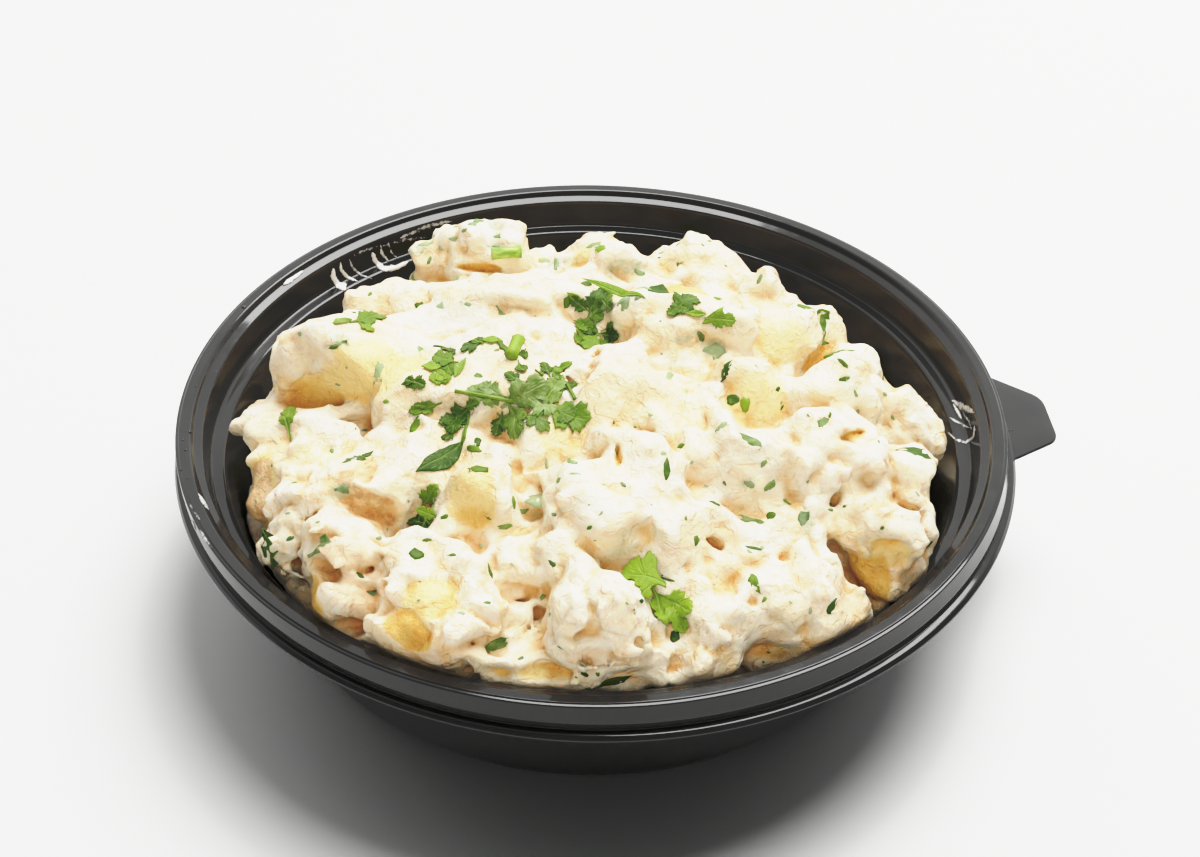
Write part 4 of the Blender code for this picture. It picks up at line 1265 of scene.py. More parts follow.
LUMPS = tuple(
    Lump(*row)
    for row in (
        (526, 607, 44, 34, 0, 0.85), (797, 441, 30, 24, 0, 0.7), (822, 358, 40, 32, 0, 0.5),
        (822, 484, 44, 40, 0, 0.6), (836, 510, 44, 36, 0, 0.6), (848, 536, 30, 30, 0, 0.35),
        (834, 498, 34, 30, 0, 0.5), (538, 606, 30, 30, 0, 0.8), (545, 618, 40, 30, 0, 0.7),
        (540, 674, 84, 24, 0, 0.5), (562, 546, 36, 34, 10, 0.5), (566, 590, 38, 34, -10, 0.5),
        (543, 628, 42, 50, 0, 0.2), (604, 626, 84, 84, 0, 0.2), (630, 648, 46, 30, 20, 0.35),
        (602, 610, 78, 56, 0, 0.3), (600, 640, 60, 26, 0, 0.4), (610, 676, 64, 20, 0, 0.3),
        (500, 568, 48, 60, 20, 0.1), (470, 590, 44, 70, -10, 0.0), (500, 598, 30, 24, 0, 0.2),
        (524, 606, 34, 40, 0, 0.4), (424, 612, 84, 70, 0, -0.05), (440, 644, 90, 26, -18, 0.3),
        (470, 628, 60, 26, 0, 0.3), (392, 604, 24, 60, 8, 0.3), (420, 578, 70, 30, 10, 0.3),
        (690, 648, 100, 50, 6, 0.1), (712, 612, 60, 36, 8, 0.35), (672, 588, 70, 26, 0, 0.1),
        (722, 640, 40, 34, 0, 0.2), (742, 658, 26, 34, 10, 0.3), (790, 598, 82, 70, 0, 0.42),
        (772, 616, 50, 30, 0, 0.35), (812, 590, 40, 40, 0, 0.3), (800, 636, 50, 26, 0, 0.35),
        (826, 628, 30, 30, 0, 0.4), (846, 612, 34, 28, -20, 0.4), (858, 630, 26, 26, 0, 0.3),
        (868, 560, 56, 50, 20, 0.15), (884, 530, 44, 26, 10, 0.4), (900, 548, 36, 26, -20, 0.4),
        (876, 508, 36, 22, 0, 0.3), (904, 508, 30, 30, 0, 0.4), (890, 478, 44, 34, 10, 0.35),
        (866, 466, 30, 24, 0, 0.3), (914, 528, 22, 34, 0, 0.35), (830, 540, 40, 24, -10, 0.3),
        (852, 520, 30, 20, 0, 0.35), (808, 512, 40, 24, 20, 0.3), (770, 530, 60, 16, 12, 0.35),
        (740, 544, 60, 12, 14, 0.4), (745, 512, 60, 14, 10, 0.35), (786, 554, 56, 16, 4, 0.3),
        (760, 484, 70, 44, 10, 0.15), (835, 478, 70, 60, 20, 0.1), (826, 400, 90, 34, 18, 0.25),
        (762, 452, 60, 26, 20, 0.15), (600, 520, 60, 60, 0, 0.15), (655, 500, 50, 70, 20, 0.05),
        (668, 548, 50, 34, -20, 0.15), (640, 470, 60, 50, 0, 0.1), (585, 488, 50, 40, 0, 0.15),
        (545, 520, 40, 22, 16, 0.3), (720, 460, 24, 50, 10, 0.1), (690, 466, 22, 60, 6, 0.15),
        (352, 560, 44, 30, 0, 0.35), (344, 592, 36, 34, 0, 0.35), (366, 584, 36, 26, 20, 0.4),
        (366, 616, 34, 34, 0, 0.3), (346, 532, 46, 24, 10, 0.4), (300, 544, 44, 18, -16, 0.4),
        (272, 556, 30, 20, -20, 0.3), (300, 505, 60, 50, 0, 0.0), (330, 440, 60, 26, 0, 0.2),
        (306, 428, 36, 16, 0, 0.35), (250, 420, 40, 34, 0, 0.2), (244, 452, 24, 34, 0, 0.3),
        (290, 362, 44, 40, 20, 0.15), (320, 344, 50, 26, 16, 0.25), (272, 372, 18, 40, 0, 0.3),
        (396, 466, 50, 70, 10, 0.05), (360, 492, 30, 60, -40, 0.1), (430, 558, 40, 24, 0, 0.3),
        (404, 530, 34, 30, 0, 0.2), (450, 430, 40, 30, 0, 0.1), (510, 440, 60, 40, 0, 0.1),
        (432, 250, 44, 26, 16, 0.2), (470, 236, 60, 34, 0, 0.15), (508, 236, 36, 40, 0, 0.1),
        (585, 262, 44, 34, 0, 0.2), (625, 258, 50, 22, -14, 0.3), (682, 250, 50, 40, 0, 0.15),
        (720, 260, 50, 40, -20, 0.1), (766, 292, 30, 30, 0, 0.3), (786, 300, 26, 18, 0, 0.4),
        (826, 320, 34, 30, 0, 0.3), (862, 356, 40, 40, 0, 0.2), (872, 396, 34, 26, 0, 0.3),
        (906, 404, 34, 34, 0, 0.3), (930, 436, 34, 30, 0, 0.3), (905, 444, 40, 20, 0, 0.2),
        (720, 330, 60, 26, 10, 0.15), (640, 320, 70, 30, 0, 0.1), (540, 300, 60, 24, 0, 0.15),
        (450, 320, 60, 26, 10, 0.1), (380, 300, 60, 24, 10, 0.2),
    )
)


@dataclass(frozen=True)
class Spike:
    """A peak of dressing, or a fold laid on the heap: its ends in pixels and half its width in mm."""

    foot: Pair
    tip: Pair
    width: float = 2.2
    laid: bool = False


SPIKES = tuple(
    Spike(*row)
    for row in (
        ((602, 240), (622, 227), 0.6), ((770, 290), (767, 264), 1.9), ((868, 400), (873, 470), 0.9),
        ((876, 440), (906, 478), 0.8), ((880, 434), (898, 462), 0.7), ((706, 512), (764, 546), 2.7, True),
        ((700, 491), (758, 507), 2.0, True), ((762, 507), (802, 523), 1.8, True),
        ((716, 548), (766, 572), 2.0, True), ((733, 466), (790, 498), 2.2, True),
        ((788, 474), (838, 440), 3.0, True), ((812, 502), (850, 472), 2.5, True),
        ((778, 390), (852, 414), 3.0, True), ((836, 522), (872, 500), 1.8, True),
        ((652, 560), (700, 545), 2.2, True), ((456, 560), (482, 606), 2.6, True),
        ((396, 600), (446, 572), 1.5, True), ((404, 622), (446, 654), 1.6, True),
        ((548, 538), (562, 572), 2.2, True), ((577, 545), (582, 588), 1.9, True),
        ((600, 430), (650, 452), 2.2, True), ((480, 290), (530, 300), 2.0, True),
        ((640, 350), (700, 372), 2.4, True), ((700, 400), (730, 440), 2.0, True),
        ((860, 350), (884, 384), 1.8, True), ((522, 604), (556, 618), 3.4, True),
        ((540, 498), (533, 487), 0.9), ((548, 500), (560, 490), 0.7),
    )
)


@dataclass
class Heap:
    """The dressed salad: potato pieces sunk in dressing, worked out as distances and meshed."""

    camera: PictureCamera
    sizes: BowlSizes = field(default_factory=BowlSizes)
    step: float = 0.7
    floor: float = 27.0
    face_limit: int = 196000
    dome_rise: float = 17.0
    dome_fall: float = 23.0
    dome_radius: float = 84.0
    dome_power: float = 3.2
    core_depth: float = 4.5
    core_edge_depth: float = 15.0
    filler_count: int = 34
    filler_tries: int = 4000
    coat: float = 0.8
    corner_round: float = 1.35
    crease_round: float = 0.6
    sauce_round: float = 2.4
    outline_inset: float = 1.2
    crease_fill: float = 1.2
    crease_reach: float = 1.9
    crease_least: float = 0.22
    lump_blend: float = 0.7
    spike_blend: float = 0.5
    outline_blend: float = 0.8
    wall_blend: float = 0.5
    pit_blend: float = 0.35
    pit_depth: float = 6.0
    coat_reach: float = 3.6

    def __post_init__(self) -> None:
        """Lay out the block of sample points."""
        self.volume = Volume((-89.6, -89.6, self.floor), (89.8, 89.8, 80.0), self.step)
        self.block = np.zeros(self.volume.shape, np.float32)
        self.marks: dict[Mark, list[tuple[Spot, np.ndarray, float]]] = {mark: [] for mark in Mark}
        self.herb_places: list[tuple[Fleck, np.ndarray, float]] = []

    def dome(self, radius: np.ndarray | float) -> np.ndarray | float:
        """Return the mean height of the heap at a radius, both in millimetres."""
        rim = self.sizes.rim_height / MM
        return rim + self.dome_rise - self.dome_fall * (radius / self.dome_radius) ** self.dome_power

    def fillers(self) -> list[Chunk]:
        """Return the pieces between the listed ones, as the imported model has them."""
        rng = random.Random(SEED)
        taken = [(chunk.x, chunk.y, (chunk.breadth + chunk.depth) / 4) for chunk in CHUNKS]
        fillers: list[Chunk] = []
        for _ in range(self.filler_tries):
            if len(fillers) == self.filler_count:
                break
            size = rng.uniform(12, 20)
            radius = rng.uniform(10, 76)
            angle = rng.uniform(0, math.tau)
            x, y = radius * math.cos(angle), radius * math.sin(angle)
            room = min(math.hypot(x - other[0], y - other[1]) - other[2] for other in taken)
            outward = min(1.0, max(0.0, (radius - 40.0) / 28.0))
            sink = 5.0 + (8.0 if y > -20 else 2.8) * outward
            if room > size * 0.36:
                fillers.append(Chunk(x, y, size * 1.15, size, -sink))
                taken.append((x, y, size / 2))
        return fillers

    def planes(self, half: np.ndarray, rng: random.Random) -> list[tuple[np.ndarray, float]]:
        """Return the sides of a hand-cut potato piece.

        Args:
            half: Half its size along each of its axes.
            rng: The draw that makes it uneven.

        Returns:
            The direction and the distance of each side.
        """
        sides = []
        for axis in range(3):
            for sign in (-1, 1):
                way = np.array([rng.uniform(-0.26, 0.26) for _ in range(3)])
                way[axis] = sign
                way /= np.linalg.norm(way)
                sides.append((way, half[axis] * rng.uniform(0.84, 1.02)))
        for corner in range(8):
            signs = np.array([1 if corner >> bit & 1 else -1 for bit in range(3)])
            way = signs / half * np.array([rng.uniform(0.5, 1.5) for _ in range(3)])
            way /= np.linalg.norm(way)
            sides.append((way, float(np.abs(way * half).sum()) * rng.uniform(0.56, 0.8)))
        return sides

    def add_chunk(self, total: np.ndarray, sauce: np.ndarray, chunk: Chunk, index: int) -> None:
        """Add one potato piece to the sums of the union.

        Args:
            total: The sum for crisp creases.
            sauce: The sum for creases filled with dressing.
            chunk: The piece.
            index: Its number, which seeds its draw.
        """
        rng = random.Random(SEED + index)
        drawn_turn, drawn_tip = rng.uniform(-24, 24), rng.uniform(-22, 22)
        turn = drawn_turn if chunk.turn is None else chunk.turn
        tip = drawn_tip if chunk.tip is None else chunk.tip
        half = np.array([chunk.breadth, chunk.depth, chunk.depth]) / 2
        middle = np.array([chunk.x, chunk.y, 0.0])
        middle[2] = self.dome(math.hypot(chunk.x, chunk.y)) - half[2] * 0.25 + chunk.lift
        spin = (
            Matrix.Rotation(math.radians(turn), 3, "Z")
            @ Matrix.Rotation(math.radians(tip), 3, "X")
            @ Matrix.Rotation(math.radians(chunk.roll), 3, "Y")
        )
        window = self.volume.window(middle, float(half.max()) * 1.25 + 9.0)
        x, y, z = (
            axis - centre + bend[window]
            for axis, centre, bend in zip(self.volume.grid(window), middle, self.warp)
        )
        gather = np.zeros(x.shape, np.float32)
        for way, distance in self.planes(half, rng):
            nx, ny, nz = np.array(spin) @ way
            gather += np.exp((x * nx + y * ny + z * nz - distance) / self.corner_round)
        distance = self.corner_round * np.log(gather)
        np.clip(distance, -12.0, None, out=distance)
        total[window] += np.exp(-distance / self.crease_round)
        sauce[window] += np.exp(-distance / self.sauce_round)

    def wall_distance(self) -> np.ndarray:
        """Return how far each sample point lies beyond the bowl's inner wall."""
        x, y, z = self.volume.grid((slice(None),) * 3)
        return (np.hypot(x, y) - self.sizes.food_radius(z)).astype(np.float32)

    def hit(self, u: float, v: float) -> tuple[np.ndarray, float] | None:
        """Return where a pixel's ray meets the heap, and the pixels for a millimetre there."""
        start = np.array(self.camera.place) / MM
        point = self.volume.cast(self.block, start, self.camera.ray(u, v))
        if point is None:
            return None
        return point, self.camera.focal / (self.camera.depth(point * MM) / MM)

    def place_spots(self) -> None:
        """Find where each listed spot of the picture lies on the heap."""
        for spot in SPOTS:
            found = self.hit(spot.u, spot.v)
            if found is not None:
                self.marks[spot.mark].append((spot, *found))
        for mark, rows in FAR_SPOTS.items():
            for x, y, wide, high, power in rows:
                above, down = np.array([x, y, 500.0]), np.array([0.0, 0.0, -1.0])
                point = self.volume.cast(self.block, above, down)
                if point is not None:
                    self.marks[mark].append((Spot(mark, 0, 0, wide, high, 0, power), point, 1.0))
        for fleck in FLECKS:
            found = self.hit(fleck.u, fleck.v) if fleck.film > 0.2 else None
            if found is not None:
                self.herb_places.append((fleck, *found))

    def framed(
        self, turn: float, point: np.ndarray, places: Sequence[np.ndarray]
    ) -> tuple[np.ndarray, np.ndarray, np.ndarray]:
        """Return places measured across, along and into the picture from a point.

        Args:
            turn: The turn of the measuring frame in the picture, in degrees.
            point: The point in space.
            places: The coordinates along each axis.

        Returns:
            Millimetres to the right, up, and away from the camera.
        """
        moves = [axis - middle for axis, middle in zip(places, point)]
        right, up, ahead = (
            sum(move * part for move, part in zip(moves, way))
            for way in (self.camera.right, self.camera.up, self.camera.ahead)
        )
        cos, sin = math.cos(math.radians(turn)), math.sin(math.radians(turn))
        return right * cos - up * sin, right * sin + up * cos, ahead

    def ellipsoid(
        self, turn: float, middle: np.ndarray, places: Sequence[np.ndarray], half: Sequence[float]
    ) -> np.ndarray:
        """Return how far places lie from an ellipsoid's middle, where 1 is its surface.

        Args:
            turn: Its turn in the picture, in degrees.
            middle: Its middle.
            places: The coordinates along each axis.
            half: Half its width, height and depth along the view, in millimetres.

        Returns:
            A share for each place.
        """
        parts = zip(self.framed(turn, middle, places), half)
        return np.sqrt(sum((axis / size) ** 2 for axis, size in parts))

    def add_lumps(self) -> None:
        """Stand the listed lumps on the heap."""
        found = [(lump, self.hit(lump.u, lump.v)) for lump in LUMPS]
        for lump, place in found:
            if place is None:
                continue
            point, scale = place
            wide, high = lump.wide / 2 / scale, lump.high / 2 / scale
            deep = math.sqrt(wide * high)
            middle = point + np.array(self.camera.ahead) * deep * (1.0 - lump.out * 2.0)
            window = self.volume.window(middle, max(wide, high, deep) + 4.0)
            warped = [
                axis + bend[window] * 0.9 for axis, bend in zip(self.volume.grid(window), self.warp)
            ]
            far = self.ellipsoid(lump.turn, middle, warped, (wide, high, deep))
            distance = ((far - 1.0) * min(wide, high, deep)).astype(np.float32)
            self.block[window] = -soft_max(-self.block[window], -distance, self.lump_blend)

    def laid_ends(self, spike: Spike, start: np.ndarray) -> tuple[np.ndarray, np.ndarray]:
        """Return both ends of a fold that lies half sunk along the surface."""
        found = self.hit(*spike.tip)
        sunk = np.array(self.camera.ahead) * spike.width * 0.45
        return start + sunk, (found[0] if found is not None else start) + sunk

    def add_spikes(self) -> None:
        """Draw out the listed peaks and strands of dressing."""
        for spike in SPIKES:
            foot = self.hit(*spike.foot)
            if foot is None:
                continue
            start, _ = foot
            if spike.laid:
                start, tip = self.laid_ends(spike, start)
                if np.allclose(start, tip):
                    continue
            else:
                depth = self.camera.depth(start * MM) / MM
                way = self.camera.ray(*spike.tip)
                origin = np.array(self.camera.place) / MM
                tip = origin + way * depth / (way @ np.array(self.camera.ahead))
            along = tip - start
            middle = (start + tip) / 2
            window = self.volume.window(middle, np.linalg.norm(along) / 2 + 4.0)
            moves = [
                axis + bend[window] * 0.4 - part
                for axis, bend, part in zip(self.volume.grid(window), self.warp, start)
            ]
            share = np.clip(sum(a * b for a, b in zip(moves, along)) / (along @ along), 0, 1)
            off = np.sqrt(sum((a - share * b) ** 2 for a, b in zip(moves, along)))
            if spike.laid:
                taper = 1.0 - 0.35 * np.abs(2.0 * share - 1.0)
            else:
                taper = 1.0 - share * (1.0 + 0.75 / spike.width)
            distance = (off - spike.width * taper).astype(np.float32)
            self.block[window] = -soft_max(-self.block[window], -distance, self.spike_blend)

    def work_out(self) -> None:
        """Work out the heap's surface: pieces, dressing between them, coat, and small relief."""
        volume = self.volume
        axes = volume.axes
        self.warp = [
            Grain(100 + axis, 11.0).over(axes) * 1.35 + Grain(110 + axis, 5.0).over(axes) * 0.5
            for axis in range(3)
        ]
        total = np.zeros(volume.shape, np.float32)
        sauce = np.zeros(volume.shape, np.float32)
        for index, chunk in enumerate([*CHUNKS, *self.fillers(), *SIDE_CHUNKS]):
            self.add_chunk(total, sauce, chunk, index)
        self.potato = -self.crease_round * np.log(total + 1e-20)
        everywhere = volume.grid((slice(None),) * 3)
        x, y, z = everywhere
        radius = np.hypot(x, y)
        share = np.clip(radius / self.dome_radius, 0, 1.1)
        core_top = self.dome(radius) - self.core_depth - self.core_edge_depth * share**3
        core = (z - core_top) * 0.8 + Grain(3, 7.0).over(axes) * 0.8
        bath = (z - self.dome(radius) + 0.9 + 7.5 * share**4) * 0.85 + Grain(4, 13.0).over(axes) * 1.3
        core = np.clip(core, -20, 40)
        bath = np.clip(bath, -20, 40)
        total += np.exp(-core / self.crease_round)
        sauce += np.exp(-core / self.sauce_round) + np.exp(-bath / self.sauce_round)
        crisp = -self.crease_round * np.log(total + 1e-20)
        smooth = -self.sauce_round * np.log(sauce + 1e-20) + 1.5
        rich = np.exp(-(((x + 2) / 44) ** 2 + ((y + 2) / 36) ** 2) ** 1.5)
        rich = rich + 0.75 * np.exp(-(((x - 22) / 36) ** 2 + ((y + 36) / 15) ** 2) ** 1.5)
        rich = np.clip(rich + Grain(5, 16.0).over(axes) * 0.16, 0, 1)
        self.block = crisp + (smooth - crisp) * rich
        self.add_lumps()
        shrunk = Outline(self.camera, OUTLINE).beyond(everywhere) + self.outline_inset
        self.block = soft_max(self.block, shrunk, self.outline_blend)
        self.add_spikes()
        hollow = self.block - volume.blur(self.block, self.crease_reach)
        self.block -= self.crease_fill * np.clip(hollow - self.crease_least, 0, None)
        self.place_spots()
        self.coat_and_relief()
        self.block = soft_max(self.block, self.wall_distance(), self.wall_blend)

    def ragged(self, points: np.ndarray) -> np.ndarray:
        """Return the noise that makes the edges of marks uneven."""
        return Grain(21, 3.0).at(points) * 0.12 + Grain(27, 7.0).at(points) * 0.14

    def bent(self, points: np.ndarray) -> np.ndarray:
        """Return points moved a little by noise, so that relief read there looks torn rather than round."""
        return points + np.stack([Grain(30 + axis, 2.8).at(points) for axis in range(3)], 1) * 0.5

    def billows(self, bent: np.ndarray) -> tuple[np.ndarray, np.ndarray]:
        """Return a broad and a narrow relief of rounded swells that meet in sharp seams."""
        return np.abs(Grain(41, 5.6).at(bent)), np.abs(Grain(42, 2.7).at(bent))

    def mark_mask(self, mark: Mark, points: np.ndarray, ragged: np.ndarray, depth: float) -> np.ndarray:
        """Return how strongly a mark shows at some points.

        Args:
            mark: The mark.
            points: The points, in millimetres.
            ragged: Noise that makes the edges uneven.
            depth: Half the reach along the view, in millimetres.

        Returns:
            A share for each point.
        """
        mask = np.zeros(len(points))
        for spot, point, scale in self.marks[mark]:
            half = (spot.wide / 2 / scale, spot.high / 2 / scale, depth)
            far = self.ellipsoid(spot.turn, point, points.T, half) + ragged
            mask = np.maximum(mask, spot.power * smoothstep(1.35, 0.7, far))
        return mask

    def coat_and_relief(self) -> None:
        """Lay the coat of dressing on, thin where flesh is bare, and carve the pits."""
        volume = self.volume
        near = np.abs(self.block) < self.coat_reach
        rows = np.argwhere(near)
        points = (volume.low + rows * volume.step).astype(np.float32)
        ragged = self.ragged(points)
        bare, skin = (self.mark_mask(mark, points, ragged, 7.0) for mark in (Mark.BARE, Mark.SKIN))
        bare = np.maximum(bare, skin)
        rough = np.clip(self.mark_mask(Mark.ROUGH, points, ragged, 16.0) + ragged * 1.5, 0, 1)
        bent = self.bent(points)
        swept = bent @ np.array([[0.36, -0.3, 0.1], [0.3, 0.85, 0.0], [0.0, 0.0, 1.0]]).T
        folds = 1.0 - np.abs(Grain(22, 7.5).at(bent))
        ridges = 1.0 - np.abs(Grain(25, 3.4).at(bent))
        streaks = 1.0 - np.abs(Grain(26, 2.9).at(swept))
        broad, narrow = self.billows(bent)
        crumbs = knobs(bent, 2.3, 2)
        fine = Grain(24, 1.4).at(bent)
        coat = self.coat + 0.55 * folds + 0.3 * streaks + (0.2 + 0.15 * rough) * ridges
        swells = np.minimum(broad, 1.3), np.minimum(narrow, 1.3)
        coat += (0.34 + 0.8 * rough) * swells[0] + (0.12 + 0.45 * rough) * swells[1]
        coat += (0.06 + 0.46 * rough) * crumbs + (0.05 + 0.2 * rough) * fine
        coat = coat * (1.0 - 0.93 * bare) - 0.5
        values = self.block[near] - coat
        for spot, point, scale in self.marks[Mark.PIT]:
            half = (spot.wide / 2 / scale, spot.high / 2 / scale, self.pit_depth * spot.power)
            far = self.ellipsoid(spot.turn, point, bent.T, half) + ragged * 1.6
            depth = (1.0 - far) * min(half[:2])
            values = soft_max(values, depth, self.pit_blend)
        self.block[near] = values

    def trimmed(self, verts: np.ndarray, faces: np.ndarray) -> bpy.types.Object:
        """Turn the surface into a mesh object, decimated to at most face_limit triangles.

        Args:
            verts: The surface's points, in millimetres.
            faces: Its faces.

        Returns:
            The object.
        """
        salad = mesh_object("dressed_salad", verts * MM, faces, DressingFinish().build())
        triangles = 2 * len(faces)
        if triangles > self.face_limit:
            modifier = salad.modifiers.new("trim", "DECIMATE")
            modifier.ratio = self.face_limit / triangles
            depsgraph = bpy.context.evaluated_depsgraph_get()
            mesh = bpy.data.meshes.new_from_object(salad.evaluated_get(depsgraph))
            salad.modifiers.clear()
            salad.data = mesh
            mesh.shade_smooth()
        return salad

    def masks(self, verts: np.ndarray) -> dict[str, np.ndarray]:
        """Return the masks that the finish reads.

        Args:
            verts: The surface's points, in millimetres.

        Returns:
            A number for each point under each mask's name.
        """
        volume = self.volume
        filled = np.clip(0.5 - self.block / volume.step, 0, 1).astype(np.float32)
        tight = volume.read(volume.blur(filled, 1.5), verts) - 0.5
        wide = volume.read(volume.blur(filled, 4.5), verts) - 0.5
        ragged = self.ragged(verts)
        radius = np.hypot(verts[:, 0], verts[:, 1])
        # Painted shade: darker in recesses and where the surface lies below the dome.
        sunk = smoothstep(3.0, 15.0, self.dome(radius) - verts[:, 2])
        recess = np.clip(tight * 2.0, 0, 1) * 0.4 + np.clip(wide * 2.8, 0, 1) * 0.65 + 0.4 * sunk
        thick = np.clip(volume.read(self.potato, verts), -0.5, 4.0)
        rough = np.clip(self.mark_mask(Mark.ROUGH, verts, ragged, 16.0) + ragged * 1.5, 0, 1)
        broad, narrow = self.billows(self.bent(verts))
        # Painted shade along the creases where swells meet, strongest where the dressing is rough.
        seam = smoothstep(0.34, 0.0, broad) * (0.45 + 0.55 * rough)
        seam = np.maximum(seam, smoothstep(0.26, 0.0, narrow) * 0.75 * rough)
        stain = self.mark_mask(Mark.STAIN, verts, ragged * 2.0, 4.0)
        for fleck, point, scale in self.herb_places:
            half = (0.85 * fleck.length / scale, 0.85 * fleck.width / scale, 2.5)
            far = self.ellipsoid(-fleck.turn, point, verts.T, half) + ragged * 3.0
            stain = np.maximum(stain, 0.75 * fleck.film * smoothstep(1.3, 0.4, far))
        masks = {
            mark.value: self.mark_mask(mark, verts, ragged, depth)
            for mark, depth in ((Mark.DEEP_AND_SHADED, 6.5), (Mark.TAN_AND_SHADE, 7.0), (Mark.BARE, 6.5), (Mark.SKIN, 6.5))
        }
        masks |= {"seam": seam, "stain": stain, "thick": thick}
        # The crevice mask is painted shade in tight hollows.
        return masks | {"recess": np.clip(recess, 0, 1), "crevice": np.clip(tight, -0.5, 0.5)}

    def build(self) -> bpy.types.Object:
        """Build the salad's mesh, dressed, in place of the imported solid."""
        self.work_out()
        salad = self.trimmed(*self.volume.surface(self.block))
        places = np.empty(len(salad.data.vertices) * 3, np.float32)
        salad.data.vertices.foreach_get("co", places)
        for name, values in self.masks(places.reshape(-1, 3) / MM).items():
            hold(salad, name, values)
        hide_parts("potato_salad")
        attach(salad, "root")
        return salad


class Ground:
    """What small pieces lie on."""

    def __init__(self, pieces: Sequence[bpy.types.Object]) -> None:
        """Take the pieces that carry others."""
        self.trees = []
        for piece in pieces:
            bm = bmesh.new()
            bm.from_mesh(piece.data)
            self.trees.append(BVHTree.FromBMesh(bm))
            bm.free()

    def cast(self, start: Vector, way: Vector) -> tuple[Vector, Vector] | None:
        """Return the first point that a ray meets and the normal there, or None."""
        best = None
        for tree in self.trees:
            spot, normal, _, far = tree.ray_cast(start, way)
            if spot is not None and (best is None or far < best[0]):
                best = (far, spot, normal)
        return best[1:] if best else None

    def mean_normal(self, spot: Vector, reach: float) -> Vector:
        """Return the mean normal of the surface about a spot.

        Args:
            spot: The spot, on the surface or near it.
            reach: How far around it the normals are taken.

        Returns:
            A unit vector.
        """
        total = Vector((0, 0, 0))
        for tree in self.trees:
            for _, normal, _, far in tree.find_nearest_range(spot, max(reach, 1.5 * MM)):
                total += normal * max(0.0, 1.0 - far / (reach * 1.5))
        return total.normalized() if total.length > 0 else Vector((0, 0, 1))


class Cut(Enum):
    """The shapes of parsley pieces."""

    FAN = "fan"
    BLADE = "blade"
    STALK = "stalk"


@dataclass(frozen=True)
class Leaflet:
    """One leaflet or stalk: foot, tip and width in pixels, tone, film of dressing and shape."""

    foot: Pair
    tip: Pair
    width: float
    tone: float = 0.5
    film: float = 0.0
    cut: Cut = Cut.FAN


